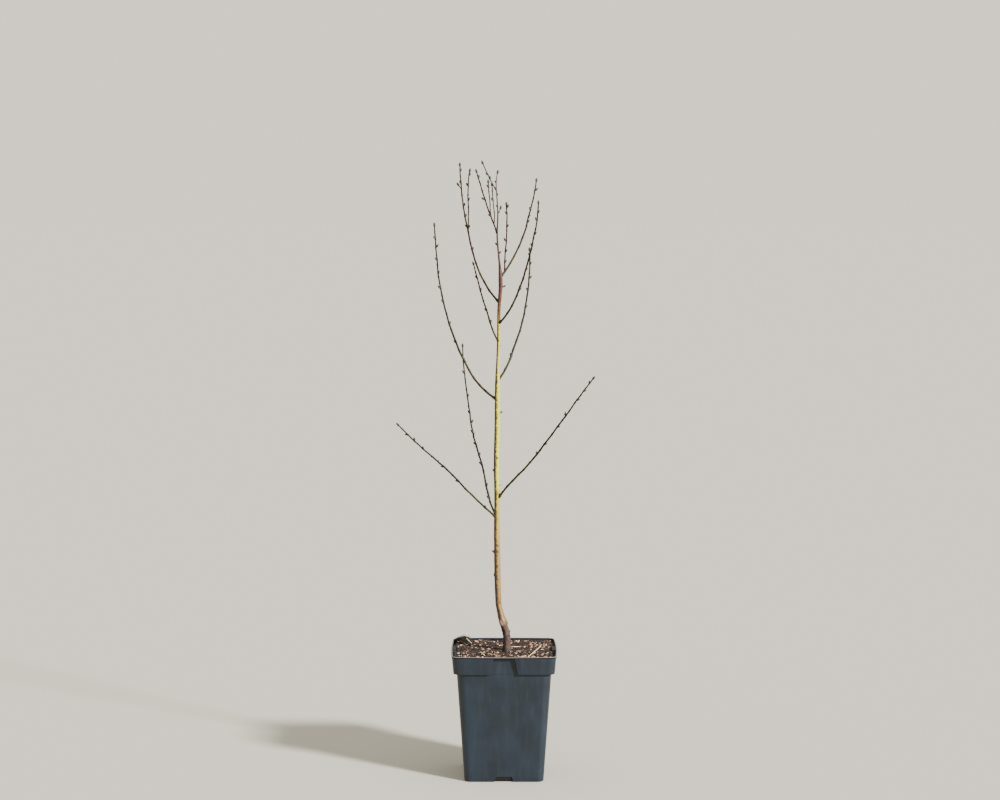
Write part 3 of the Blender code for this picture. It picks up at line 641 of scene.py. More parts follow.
def compostHeight(x, y):
    bumps = noise.noise(Vector((x, y, 0.3)) * perMetre(compost["reliefMm"]))
    crumbs = noise.noise(Vector((x, y, 4.1)) * perMetre(compost["reliefMm"] / 3))
    dish = -0.0006 + 0.0012 * noise.noise(Vector((x, y, 9.7)) * perMetre(60))
    rise = compost["relief"] * (0.7 * bumps + 0.35 * crumbs) + dish
    centre, size = compost["clumpPlace"], compost["clumpSize"]
    inside = 1 - ((x - centre[0]) / size[0]) ** 2 - ((y - centre[1]) / size[1]) ** 2
    if inside > 0:
        rise = max(rise, size[2] * math.sqrt(inside) * (0.86 + 0.3 * crumbs))
    return compost["level"] + rise


def makeCompost():
    inset = pot["wall"] + pot["gap"]
    levels = innerLevels(inset)
    for height in (shoulder + 0.010, shoulder + 0.020, compost["level"] - 0.0030):
        levels.append(skirtLevel(height, True, inset))
    bag, rings = loft(levels, inset)
    bag["faces"].pop()
    shore = [bag["verts"][i] for i in rings[-1]]
    last = rings[-1]
    count = len(shore)
    for step in range(compost["rings"]):
        share = 1 - step / compost["rings"]
        ring = []
        for x, y, height in shore:
            ring.append(len(bag["verts"]))
            bag["verts"].append((x * share, y * share, compostHeight(x * share, y * share)))
        for i in range(count):
            j = (i + 1) % count
            bag["faces"].append((last[i], last[j], ring[j], ring[i]))
        last = ring
    middle = len(bag["verts"])
    bag["verts"].append((0, 0, compostHeight(0, 0)))
    for i in range(count):
        bag["faces"].append((last[i], last[(i + 1) % count], middle))
    settle(newPiece("barkCompost", bag, [wetCompost]), "soil", "soil")
    return shore


def discSurface(name, rim, centre, rings):
    # a patch of the compost's surface inside a rim, for things to be strewn on
    bag = newBag()
    last = None
    count = len(rim)
    for step in range(rings):
        share = 1 - step / rings
        ring = []
        for x, y in rim:
            px = centre[0] + (x - centre[0]) * share
            py = centre[1] + (y - centre[1]) * share
            ring.append(len(bag["verts"]))
            bag["verts"].append((px, py, compostHeight(px, py)))
        if last:
            for i in range(count):
                j = (i + 1) % count
                bag["faces"].append((last[i], last[j], ring[j], ring[i]))
        last = ring
    bag["faces"].append(tuple(last))
    return newPiece(name, bag, [])


shoreLine = makeCompost()


# Tubes, for straws, fibres, boughs and twigs

def addTube(bag, points, radii, sides, slots=None, wrinkle=0.0):
    across = (points[1] - points[0]).orthogonal()
    last = None
    for i, (point, radius) in enumerate(zip(points, radii)):
        aim = (points[min(i + 1, len(points) - 1)] - points[max(i - 1, 0)]).normalized()
        across = (across - aim * across.dot(aim)).normalized()
        up = aim.cross(across)
        ring = []
        for k in range(sides):
            angle = 2 * math.pi * k / sides
            out = across * math.cos(angle) + up * math.sin(angle)
            fold = wrinkle * noise.noise((point + out * 0.004) * 420) if wrinkle else 0
            ring.append(len(bag["verts"]))
            bag["verts"].append(point + out * radius * (1 + fold))
        if last:
            for k in range(sides):
                j = (k + 1) % sides
                bag["faces"].append((last[k], last[j], ring[j], ring[k]))
                bag["slots"].append(slots[i] if slots else 0)
        else:
            bag["faces"].append(tuple(reversed(ring)))
            bag["slots"].append(slots[0] if slots else 0)
        last = ring
    tip = len(bag["verts"])
    bag["verts"].append(points[-1] + (points[-1] - points[-2]).normalized() * radii[-1] * 0.6)
    for k in range(sides):
        bag["faces"].append((last[k], last[(k + 1) % sides], tip))
        bag["slots"].append(slots[-1] if slots else 0)


# Shapes to strew, and the trees of nodes that strew them

def shapeGroup(name):
    group = bpy.data.collections.new(name)
    bpy.context.scene.collection.children.link(group)
    return group


def intoGroup(piece, group):
    bpy.context.scene.collection.objects.unlink(piece)
    group.objects.link(piece)


def chipShapes(name, count, size, seed):
    draw = random.Random(seed)
    group = shapeGroup(name)
    for number in range(count):
        shape = bmesh.new()
        for corner in range(13):
            point = Vector([draw.uniform(-1, 1) for axis in range(3)])
            point *= draw.uniform(0.8, 1.0) / max(abs(part) for part in point)
            shape.verts.new([part * full / 2 for part, full in zip(point, size)])
        bmesh.ops.convex_hull(shape, input=shape.verts)
        spare = [vert for vert in shape.verts if not vert.link_faces]
        bmesh.ops.delete(shape, geom=spare, context="VERTS")
        bmesh.ops.recalc_face_normals(shape, faces=shape.faces)
        mesh = bpy.data.meshes.new(name)
        shape.to_mesh(mesh)
        shape.free()
        group.objects.link(bpy.data.objects.new(name + str(number), mesh))
    return group


def fibreShapes(name, count, length, radius, seed):
    draw = random.Random(seed)
    group = shapeGroup(name)
    for number in range(count):
        bag = newBag()
        bend, lift, wave = draw.uniform(-0.3, 0.3), draw.uniform(0.02, 0.14), draw.uniform(0, 6)
        full = length * draw.uniform(0.6, 1.2)
        points = []
        for step in range(8):
            share = step / 7
            points.append(Vector((
                full * (share - 0.5), full * (bend * math.sin(math.pi * share) + 0.03 * math.sin(wave + 9 * share)),
                full * lift * math.sin(math.pi * share))))
        addTube(bag, points, [radius * (1 - 0.4 * step / 7) for step in range(8)], 4)
        intoGroup(newPiece(name + str(number), bag, []), group)
    return group


def budShapes(name, count, seed):
    # one unit long and wide: a cushion, then overlapping scales that close to a point
    draw = random.Random(seed)
    group = shapeGroup(name)
    profile = ((-0.22, 0.75), (-0.08, 1.05), (0.02, 0.98), (0.12, 0.92), (0.30, 1.0), (0.36, 0.90),
               (0.52, 0.88), (0.60, 0.70), (0.78, 0.52), (0.92, 0.24))
    for number in range(count):
        bag = newBag()
        lean = draw.uniform(-0.12, 0.12)
        last = None
        for height, width in profile:
            ring = []
            for k in range(7):
                angle = 2 * math.pi * k / 7
                edge = 1 + 0.07 * math.cos(2 * angle + 7 * height + number)
                ring.append(len(bag["verts"]))
                bag["verts"].append((math.cos(angle) * width * edge + lean * height * height,
                                     math.sin(angle) * width * edge, height))
            if last:
                for k in range(7):
                    j = (k + 1) % 7
                    bag["faces"].append((last[k], last[j], ring[j], ring[k]))
            else:
                bag["faces"].append(tuple(reversed(ring)))
            last = ring
        point = len(bag["verts"])
        bag["verts"].append((lean, 0, 1.0))
        for k in range(7):
            bag["faces"].append((last[k], last[(k + 1) % 7], point))
        intoGroup(newPiece(name + str(number), bag, []), group)
    return group


def openTree(name, sockets):
    tree = bpy.data.node_groups.new(name, "GeometryNodeTree")
    tree.interface.new_socket(name="Geometry", in_out="INPUT", socket_type="NodeSocketGeometry")
    for label, kind in sockets.items():
        tree.interface.new_socket(name=label, in_out="INPUT", socket_type=kind)
    tree.interface.new_socket(name="Geometry", in_out="OUTPUT", socket_type="NodeSocketGeometry")
    return tree, tree.nodes.new("NodeGroupInput").outputs, tree.nodes.new("NodeGroupOutput").inputs


def closeTree(tree, instances, given, result):
    real = addNode(tree, "GeometryNodeRealizeInstances", links={"Geometry": instances})
    painted = addNode(tree, "GeometryNodeSetMaterial",
                      links={"Geometry": real.outputs[0], "Material": given["Material"]})
    tree.links.new(painted.outputs[0], result["Geometry"])
    return tree


def litterTree():
    tree, given, result = openTree("litter", {
        "Density": "NodeSocketFloat", "Seed": "NodeSocketInt", "Smallest": "NodeSocketFloat",
        "Largest": "NodeSocketFloat", "Tilt": "NodeSocketFloat", "Lift": "NodeSocketFloat",
        "Shapes": "NodeSocketCollection", "Material": "NodeSocketMaterial"})
    strewn = addNode(tree, "GeometryNodeDistributePointsOnFaces", {"distribute_method": "RANDOM"},
                     links={"Mesh": given["Geometry"], "Density": given["Density"], "Seed": given["Seed"]})
    back = addNode(tree, "ShaderNodeMath", {"operation": "MULTIPLY"}, {1: -1.0}, {0: given["Tilt"]}).outputs[0]
    lowest = addNode(tree, "ShaderNodeCombineXYZ", values={"Z": -math.pi}, links={"X": back, "Y": back})
    highest = addNode(tree, "ShaderNodeCombineXYZ", values={"Z": math.pi},
                      links={"X": given["Tilt"], "Y": given["Tilt"]})
    turn = addNode(tree, "FunctionNodeRandomValue", {"data_type": "FLOAT_VECTOR"},
                   links={0: lowest.outputs[0], 1: highest.outputs[0], 8: given["Seed"]})
    turned = addNode(tree, "FunctionNodeEulerToRotation", links={0: turn.outputs[0]})
    size = addNode(tree, "FunctionNodeRandomValue", {"data_type": "FLOAT"},
                   links={2: given["Smallest"], 3: given["Largest"], 8: given["Seed"]})
    shapes = addNode(tree, "GeometryNodeCollectionInfo",
                     values={"Separate Children": True, "Reset Children": True},
                     links={"Collection": given["Shapes"]})
    lift = addNode(tree, "ShaderNodeCombineXYZ", links={"Z": given["Lift"]})
    raised = addNode(tree, "GeometryNodeSetPosition",
                     links={"Geometry": strewn.outputs["Points"], "Offset": lift.outputs[0]})
    laid = addNode(tree, "GeometryNodeInstanceOnPoints", values={"Pick Instance": True},
                   links={"Points": raised.outputs[0], "Instance": shapes.outputs[0],
                          "Rotation": turned.outputs[0], "Scale": size.outputs[1]})
    return closeTree(tree, laid.outputs[0], given, result)


def budTree():
    # Each point's aim says where its bud points, and how large it is by its length.
    tree, given, result = openTree("buds", {
        "Length": "NodeSocketFloat", "Width": "NodeSocketFloat", "Seed": "NodeSocketInt",
        "Shapes": "NodeSocketCollection", "Material": "NodeSocketMaterial"})
    aim = addNode(tree, "GeometryNodeInputNamedAttribute", {"data_type": "FLOAT_VECTOR"}, {"Name": "aim"})
    upright = addNode(tree, "FunctionNodeAlignRotationToVector", {"axis": "Z"},
                      links={"Vector": aim.outputs["Attribute"]})
    spin = addNode(tree, "FunctionNodeRandomValue", {"data_type": "FLOAT"}, {2: -math.pi, 3: math.pi},
                   {8: given["Seed"]})
    spun = addNode(tree, "ShaderNodeCombineXYZ", links={"Z": spin.outputs[1]})
    turned = addNode(tree, "FunctionNodeEulerToRotation", links={0: spun.outputs[0]})
    stood = addNode(tree, "FunctionNodeRotateRotation", {"rotation_space": "LOCAL"},
                    links={0: upright.outputs[0], 1: turned.outputs[0]})
    vigour = addNode(tree, "ShaderNodeVectorMath", {"operation": "LENGTH"}, links={0: aim.outputs["Attribute"]})
    size = addNode(tree, "ShaderNodeCombineXYZ",
                   links={"X": given["Width"], "Y": given["Width"], "Z": given["Length"]})
    scaled = addNode(tree, "ShaderNodeVectorMath", {"operation": "SCALE"},
                     links={0: size.outputs[0], "Scale": vigour.outputs["Value"]})
    shapes = addNode(tree, "GeometryNodeCollectionInfo",
                     values={"Separate Children": True, "Reset Children": True},
                     links={"Collection": given["Shapes"]})
    grown = addNode(tree, "GeometryNodeInstanceOnPoints", values={"Pick Instance": True},
                    links={"Points": given["Geometry"], "Instance": shapes.outputs[0],
                           "Rotation": stood.outputs[0], "Scale": scaled.outputs[0]})
    return closeTree(tree, grown.outputs[0], given, result)


def grow(name, carrier, tree, inputs, smooth):
    modifier = carrier.modifiers.new(name, "NODES")
    modifier.node_group = tree
    for socket in tree.interface.items_tree:
        if socket.in_out == "INPUT" and socket.name in inputs:
            modifier[socket.identifier] = inputs[socket.name]
    mesh = plainMesh(carrier)
    carrier.modifiers.remove(modifier)
    bpy.data.objects.remove(carrier, do_unlink=True)
    mesh.materials.clear()
    mesh.materials.append(inputs["Material"])
    mesh.polygons.foreach_set("material_index", [0] * len(mesh.polygons))
    mesh.polygons.foreach_set("use_smooth", [smooth] * len(mesh.polygons))
    mesh.name = name
    piece = bpy.data.objects.new(name, mesh)
    bpy.context.scene.collection.objects.link(piece)
    return piece


def clearGroup(group):
    for thing in list(group.objects):
        bpy.data.objects.remove(thing, do_unlink=True)
    bpy.data.collections.remove(group)


litter = {
    # shapes, real size in metres or length and radius, density, tilt, lift and scale range
    "darkChips": {"size": (0.0078, 0.0050, 0.0028), "density": "darkPerSquare", "tilt": 0.55, "lift": 0.0004,
                  "scale": (0.35, 1.15), "material": darkChip, "seed": 21},
    "brownChips": {"size": (0.0070, 0.0034, 0.0018), "density": "brownPerSquare", "tilt": 0.50,
                   "lift": 0.0009, "scale": (0.35, 1.1), "material": brownChip, "seed": 22},
    "paleChips": {"size": (0.0086, 0.0029, 0.0015), "density": "palePerSquare", "tilt": 0.35,
                  "lift": 0.0014, "scale": (0.25, 1.20), "material": paleChip, "seed": 23},
}


def strewLitter():
    tree = litterTree()
    rim = [(x * compost["shore"], y * compost["shore"]) for x, y, height in shoreLine]
    for name, kind in litter.items():
        shapes = chipShapes(name + "Shape", 9, kind["size"], kind["seed"])
        carrier = discSurface(name + "Carrier", rim, (0, 0), 44)
        piece = grow(name, carrier, tree, {
            "Density": float(compost[kind["density"]]), "Seed": kind["seed"], "Smallest": kind["scale"][0],
            "Largest": kind["scale"][1], "Tilt": kind["tilt"], "Lift": kind["lift"], "Shapes": shapes,
            "Material": kind["material"]}, False)
        clearGroup(shapes)
        settle(piece, "soil")
    shapes = fibreShapes("coirShape", 7, 0.017, 0.00028, 31)
    piece = grow("coirFibres", discSurface("coirCarrier", rim, (0, 0), 44), tree, {
        "Density": float(compost["fibrePerSquare"]), "Seed": 31, "Smallest": 0.5, "Largest": 1.1, "Tilt": 0.25,
        "Lift": 0.0014, "Shapes": shapes, "Material": coir}, True)
    clearGroup(shapes)
    settle(piece, "soil")
    centre, size = compost["clumpPlace"], compost["clumpSize"]
    rim = [(centre[0] + size[0] * math.cos(k * math.pi / 14), centre[1] + size[1] * math.sin(k * math.pi / 14))
           for k in range(28)]
    shapes = fibreShapes("rootShape", 6, 0.011, 0.00034, 32)
    piece = grow("mattedFibres", discSurface("rootCarrier", rim, centre, 9), tree, {
        "Density": float(compost["clumpFibres"]), "Seed": 32, "Smallest": 0.4, "Largest": 1.1, "Tilt": 1.2,
        "Lift": 0.0002, "Shapes": shapes, "Material": blackRoot}, True)
    clearGroup(shapes)
    settle(piece, "soil")
    shapes = chipShapes("crumbShape", 7, (0.0056, 0.0040, 0.0030), 33)
    piece = grow("blackCrumbs", discSurface("crumbCarrier", rim, centre, 9), tree, {
        "Density": float(compost["clumpChips"]), "Seed": 33, "Smallest": 0.4, "Largest": 1.0, "Tilt": 0.9,
        "Lift": 0.0, "Shapes": shapes, "Material": blackRoot}, False)
    clearGroup(shapes)
    settle(piece, "soil")


strewLitter()

# Straws that can be told apart: pixels of the picture, heights, and radius.
straws = (
    (((466.5, 638.2), 0.2515), ((469, 640.8), 0.2475), ((471.5, 643.2), 0.2440), 0.0006),
    (((528, 657), 0.2468), ((535, 651), 0.2500), ((541, 646), 0.2515), 0.0006),
    (((480.5, 652), 0.2440), ((482.5, 653.5), 0.2446), ((484.5, 655.2), 0.2440), 0.0008),
    (((508, 646), 0.2440), ((513, 647), 0.2452), ((519, 646.5), 0.2440), 0.0005),
)


def makeStraws():
    bag = newBag()
    for first, second, third, radius in straws:
        ends = [onLevel(*pixel, height) for pixel, height in (first, second, third)]
        points = []
        for step in range(13):
            share = step / 12
            points.append(ends[0] * (1 - share) ** 2 + ends[1] * 2 * share * (1 - share) + ends[2] * share ** 2)
        addTube(bag, points, [radius] * 13, 6)
    settle(newPiece("dryStraws", bag, [straw]), "soil")


makeStraws()


# Trunk

trunk = {
    "foot": (0.0062, -0.0180), "step": 0.016, "flare": 0.0014, "flareHeight": 0.009,
    "ringStep": 0.0019, "sides": 40, "sunTurn": -40, "blend": 0.0008,
    "corkTop": (0.288, 0.304), "union": 0.2965, "unionTilt": 0.0055, "unionTurn": 200,
    "unionWidth": 0.0013, "unionDepth": 0.0006,
    "scar": {"height": 0.2983, "turn": -112, "across": 0.0036, "up": 0.0066},
}
stretches = {
    "rootstock": {"length": 0.0912, "left": (6, -1, 11, 21, 12, 15), "back": (4.8, 5.3),
                  "radii": (0.0080, 0.0070, 0.0070, 0.0081, 0.0065, 0.0058)},
    "stem": {"length": 0.4248, "left": (3, 1, 1, -1, 2, -2, 0, -1), "back": (3.6, 1.4, 1.1, 1.2),
             "radii": (0.0058, 0.0062, 0.0058, 0.0053, 0.0052, 0.0052, 0.0051, 0.0048)},
    "leader": {"length": 0.4069, "left": (0, -2, -2, 0, -1, -6, 2, 6, 5, -4, 3, 5, -13),
               "back": (2.4, -2.4, 2.2, 0.8),
               "radii": (0.0048, 0.0036, 0.0033, 0.0031, 0.0033, 0.0037, 0.0041, 0.0020, 0.0018, 0.0016,
                         0.0014, 0.0012, 0.0009)},
}
lumps = {
    # height, turn seen from above, how far out its middle is, half sizes out, across and up
    "graftHeel": (0.2995, -10, 0.0048, (0.0044, 0.0050, 0.0092)),
    "rootstockKnob": (0.2805, 5, 0.0066, (0.0026, 0.0024, 0.0030)),
    "lowBackKnob": (0.3180, 150, 0.0052, (0.0024, 0.0022, 0.0030)),
    "leftScar": (0.3890, 175, 0.0055, (0.0020, 0.0024, 0.0036)),
    "leftBud": (0.4340, 190, 0.0055, (0.0026, 0.0022, 0.0034)),
    "rightNode": (0.4080, 20, 0.0052, (0.0018, 0.0022, 0.0030)),
    "backNode": (0.4620, 95, 0.0050, (0.0020, 0.0020, 0.0030)),
    "frontNode": (0.5620, -20, 0.0047, (0.0018, 0.0020, 0.0028)),
    "leftNode": (0.5910, 185, 0.0046, (0.0020, 0.0018, 0.0028)),
    "midNode": (0.6150, -75, 0.0045, (0.0018, 0.0018, 0.0028)),
    "upperBackNode": (0.6500, 80, 0.0045, (0.0018, 0.0018, 0.0028)),
    "spurScar": (0.7020, -5, 0.0050, (0.0024, 0.0018, 0.0024)),
    "forkNode": (0.9440, 0, 0.0042, (0.0026, 0.0016, 0.0018)),
    "leaderRightNode": (1.0080, 0, 0.0017, (0.0014, 0.0012, 0.0020)),
    "leaderLeftNode": (1.0240, 180, 0.0016, (0.0014, 0.0012, 0.0020)),
}
# dark knots and old bud marks: height, turn, half size
knots = ((0.4769, -116, 0.0034), (0.4575, -122, 0.0036), (0.4458, -74, 0.0032), (0.4342, -84, 0.0036),
         (0.4069, -92, 0.0034), (0.3690, -110, 0.0028), (0.3370, -70, 0.0026), (0.3890, 175, 0.0036),
         (0.5330, 205, 0.0040), (0.5620, -20, 0.0028), (0.5910, 185, 0.0028), (0.6150, -75, 0.0030),
         (0.6500, 80, 0.0028), (0.7020, -5, 0.0032), (0.7850, 120, 0.0026), (0.8300, -30, 0.0022),
         (0.9440, 0, 0.0026), (0.2730, -60, 0.0034), (0.5050, 60, 0.0032), (0.4620, 95, 0.0034),
         (0.5460, -64, 0.0026))
# buds that sit on the trunk: height, turn, lean from upright, size
trunkBuds = ((0.4340, 190, 50, 0.75), (0.7020, -5, 40, 0.8), (0.9440, 0, 55, 0.8), (1.0080, 0, 30, 0.8),
             (1.0240, 180, 30, 0.8), (0.6150, -75, 35, 0.45), (0.5620, -20, 30, 0.45), (0.5910, 185, 35, 0.5),
             (0.8300, -30, 30, 0.4), (0.9800, 100, 30, 0.6), (1.0560, -80, 30, 0.7), (1.0960, 170, 32, 0.7),
             (1.1180, -20, 30, 0.75), (1.1420, 175, 32, 0.8))
leaderSpur = {"height": 1.082, "turn": 10, "length": 0.013, "leans": (38, 12)}


def trunkStations():
    point = Vector((*trunk["foot"], compost["level"] + pot["gap"]))
    stations = []
    for stretch in stretches.values():
        steps = round(stretch["length"] / trunk["step"]) * 2
        for step in range(steps):
            stations.append((point.copy(), between(stretch["radii"], step / steps)))
            middle = (step + 0.5) / steps
            side = -math.sin(math.radians(between(stretch["left"], middle)))
            depth = math.sin(math.radians(between(stretch["back"], middle)))
            rise = math.sqrt(1 - side * side - depth * depth)
            point += Vector((side, depth, rise)) * (stretch["length"] / steps)
    stations.append((point.copy(), stretches["leader"]["radii"][-1]))
    return stations


def trunkAt(stations, height):
    for (low, lowRadius), (high, highRadius) in zip(stations, stations[1:]):
        if low.z <= height <= high.z:
            share = (height - low.z) / (high.z - low.z)
            return low.lerp(high, share), lowRadius + (highRadius - lowRadius) * share
    return stations[-1][0].copy(), stations[-1][1]


def turnedBy(angle, turn):
    # the angle between two turns, from -pi to pi
    return (angle - math.radians(turn) + math.pi) % (2 * math.pi) - math.pi


def lumpReach(lump, angle, height):
    middle, turn, out, (deep, wide, tall) = lump
    toward = math.cos(turnedBy(angle, turn))
    aside = math.sin(turnedBy(angle, turn))
    square = (toward / deep) ** 2 + (aside / wide) ** 2
    linear = -2 * out * toward / deep ** 2
    rest = (out / deep) ** 2 + ((height - middle) / tall) ** 2 - 1
    inside = linear * linear - 4 * square * rest
    return max((-linear + math.sqrt(inside)) / (2 * square), 0.0) if inside > 0 else 0.0


def cork(angle, height):
    # the rootstock's rough bark ends in a slant at the graft, higher on the right
    low, high = trunk["corkTop"]
    slant = 0.009 * math.cos(turnedBy(angle, trunk["unionTurn"]))
    ragged = 0.004 * noise.noise(Vector((math.cos(angle) * 3, math.sin(angle) * 3, height * 60)))
    return 1 - ease((height + slant + ragged - low) / (high - low))


def trunkPoint(angle, height, radius):
    # how far out the bark reaches there, and how much of a scar and a knot it is
    around_ = Vector((math.cos(angle), math.sin(angle), 0))
    rough = cork(angle, height)
    slender = min(radius / 0.005, 1.0)
    soft = noise.noise(Vector((around_.x * 1.3, around_.y * 1.3, height * 70)))
    ridge = noise.noise(Vector((around_.x * 3.4, around_.y * 3.4, height * 130 + 7)))
    crumb = noise.noise(Vector((around_.x * 7, around_.y * 7, height * 420 + 3)))
    reach = radius + slender * (soft * (0.00018 + 0.0009 * rough) + ridge * (0.0001 + 0.0008 * rough))
    reach += crumb * 0.00045 * rough
    for lump in lumps.values():
        if abs(height - lump[0]) < lump[3][2]:
            other = lumpReach(lump, angle, height)
            near = max(trunk["blend"] - abs(reach - other), 0) / trunk["blend"]
            reach = max(reach, other) + near * near * trunk["blend"] / 4
    line = trunk["union"] + trunk["unionTilt"] * math.cos(turnedBy(angle, trunk["unionTurn"]))
    reach -= trunk["unionDepth"] * math.exp(-((height - line) / trunk["unionWidth"]) ** 2)
    place = trunk["scar"]
    away = math.hypot(turnedBy(angle, place["turn"]) * radius / place["across"],
                      (height - place["height"]) / place["up"])
    scar = 1 - ease((away - 0.7) / 0.35)
    reach += 0.0004 * math.exp(-((away - 1.05) / 0.22) ** 2) - 0.0004 * scar
    knot = 0.0
    for middle, turn, size in knots:
        away = math.hypot(turnedBy(angle, turn) * radius, height - middle) / size
        if away < 2:
            knot = max(knot, 1 - ease((away - 0.3) / 0.8))
            reach += 0.00035 * math.exp(-away * away * 1.6)
    return reach, scar * 0.9, knot * 0.85


def makeTrunk(stations):
    bag = newBag()
    marks = {"paintedShadeSide": [], "corky": [], "scar": [], "knot": []}
    foot, top = stations[0][0].z, stations[-1][0].z
    rings = round((top - foot) / trunk["ringStep"])
    sides = trunk["sides"]
    for ring in range(rings + 1):
        height = foot + (top - foot) * ring / rings
        centre, radius = trunkAt(stations, height)
        radius += trunk["flare"] * math.exp(-(height - foot) / (trunk["flareHeight"] / 2))
        for k in range(sides):
            angle = 2 * math.pi * k / sides
            reach, scar, knot = trunkPoint(angle, height, radius)
            bag["verts"].append((centre.x + reach * math.cos(angle), centre.y + reach * math.sin(angle), height))
            # painted shade mark: 1 on the side turned from the key light, 0 on the side facing it
            marks["paintedShadeSide"].append(0.5 - 0.5 * math.cos(turnedBy(angle, trunk["sunTurn"])))
            marks["corky"].append(cork(angle, height))
            marks["scar"].append(scar)
            marks["knot"].append(knot)
    for ring in range(rings):
        for k in range(sides):
            j = (k + 1) % sides
            low, high = ring * sides, (ring + 1) * sides
            bag["faces"].append((low + k, low + j, high + j, high + k))
    bag["faces"].append(tuple(reversed(range(sides))))
    tip = len(bag["verts"])
    bag["verts"].append(stations[-1][0] + Vector((0, 0, 0.0006)))
    for values, last in zip(marks.values(), (0.5, 0.0, 0.0, 0.0)):
        values.append(last)
    for k in range(sides):
        bag["faces"].append((rings * sides + k, rings * sides + (k + 1) % sides, tip))
    piece = newPiece("trunkBark", bag, [stemBark])
    for name, values in marks.items():
        piece.data.attributes.new(name, "FLOAT", "POINT").data.foreach_set("value", values)
    settle(piece, "bark", "trunk")


stationsUp = trunkStations()
makeTrunk(stationsUp)


# Boughs and twigs. A limb: height of its base, turn, length, leans from upright at even steps,
# radii, the share that is bough, and the shares of its side buds, minus for those to the left.

limbs = {
    "low_left": {"height": 0.499, "turn": 208, "length": 0.283, "leans": (50, 48, 44, 51, 49, 45),
                 "thick": 0.0018, "thin": 0.0008, "bough": 0.42, "plum": 0.0,
                 "buds": (0.12, -0.40, -0.55, 0.75, 0.83, -0.90)},
    "inner_left": {"height": 0.501, "turn": 118, "length": 0.360, "leans": (56, 20, 38, 16, 17, 3),
                   "thick": 0.0018, "thin": 0.0008, "bough": 0.40, "plum": 0.0,
                   "buds": (-0.13, 0.20, -0.32, 0.38, -0.45, -0.52, 0.57, -0.63, 0.72, -0.85, 0.92)},
    "low_right": {"height": 0.534, "turn": -30, "length": 0.320, "leans": (37, 48, 40, 39, 38, 40),
                  "thick": 0.0019, "thin": 0.0008, "bough": 0.42, "plum": 0.0,
                  "buds": (-0.40, 0.48, 0.62, -0.70, 0.83, 0.90, -0.96)},
    "outer_left": {"height": 0.727, "turn": 160, "length": 0.372, "leans": (63, 32, 22, 14, 5, 4),
                   "thick": 0.0020, "thin": 0.0008, "bough": 0.42, "plum": 0.1,
                   "buds": (-0.38, 0.48, -0.60, -0.67, 0.75, -0.82, 0.88, -0.93)},
    "mid_right": {"height": 0.764, "turn": 55, "length": 0.283, "leans": (62, 33, 32, 16, 10, -8),
                  "thick": 0.0020, "thin": 0.0008, "bough": 0.42, "plum": 0.1,
                  "buds": (-0.23, 0.60, -0.72, 0.80, 0.90, -0.96)},
    "inner_front": {"height": 0.838, "turn": 238, "length": 0.177, "leans": (50, 28, 31, 25, 26),
                    "thick": 0.0015, "thin": 0.0008, "bough": 0.45, "plum": 0.15,
                    "buds": (0.28, -0.43, 0.68, -0.83)},
    "upper_right": {"height": 0.873, "turn": -42, "length": 0.257, "leans": (54, 33, 24, 18, 15, 2),
                    "thick": 0.0018, "thin": 0.0008, "bough": 0.42, "plum": 0.2,
                    "buds": (0.33, -0.68, 0.77, -0.87, 0.93)},
    "top_left": {"height": 0.913, "turn": 150, "length": 0.284, "leans": (49, 31, 16, 13, 7, 2),
                 "thick": 0.0018, "thin": 0.0008, "bough": 0.45, "plum": 0.75,
                 "buds": (0.42, -0.58, 0.65, 0.72, -0.88, 0.96)},
    "top_right": {"height": 0.962, "turn": 35, "length": 0.206, "leans": (47, 34, 28, 16, 18, 7),
                  "thick": 0.0018, "thin": 0.0008, "bough": 0.42, "plum": 0.4, "buds": (0.60, -0.72, 0.90)},
    "crown_left": {"height": 1.044, "turn": 215, "length": 0.128, "leans": (20, 27, 21, 20, 20),
                   "thick": 0.0013, "thin": 0.0008, "bough": 0.0, "plum": 1.0,
                   "buds": (-0.30, 0.36, -0.55, 0.90)},
    "crown_tip": {"height": 1.126, "turn": 200, "length": 0.060, "leans": (32, 24), "thick": 0.0009,
                  "thin": 0.0007, "bough": 0.0, "plum": 1.0, "buds": (0.45, -0.60)},
}
forks = {
    "top_left_inner": {"parent": "top_left", "along": 0.532, "turn": 55, "length": 0.121,
                       "leans": (2, -2, -1, 18), "thick": 0.0011, "thin": 0.0008, "plum": 0.4,
                       "buds": (0.10, 0.53, -0.75, 0.93)},
    "top_left_outer": {"parent": "top_left", "along": 0.833, "turn": 200, "length": 0.012,
                       "leans": (34, 37), "thick": 0.0008, "thin": 0.0007, "plum": 0.3, "buds": ()},
    "crown_left_inner": {"parent": "crown_left", "along": 0.151, "turn": 115, "length": 0.077,
                         "leans": (-17, 16, 11, 5), "thick": 0.0009, "thin": 0.0007, "plum": 1.0,
                         "buds": (-0.62,)},
    "crown_left_middle": {"parent": "crown_left", "along": 0.247, "turn": 235, "length": 0.071,
                          "leans": (26, 1, 13, 2), "thick": 0.0009, "thin": 0.0007, "plum": 1.0,
                          "buds": (-0.87,)},
}
upright = {"parent": "top_right", "along": 0.070, "turn": -60, "length": 0.129, "leans": (-2, 10, 3, -8),
           "thick": 0.0012, "thin": 0.0008, "plum": 0.6, "buds": (0.14, 0.30, -0.45, 0.67, -0.86, 0.94)}
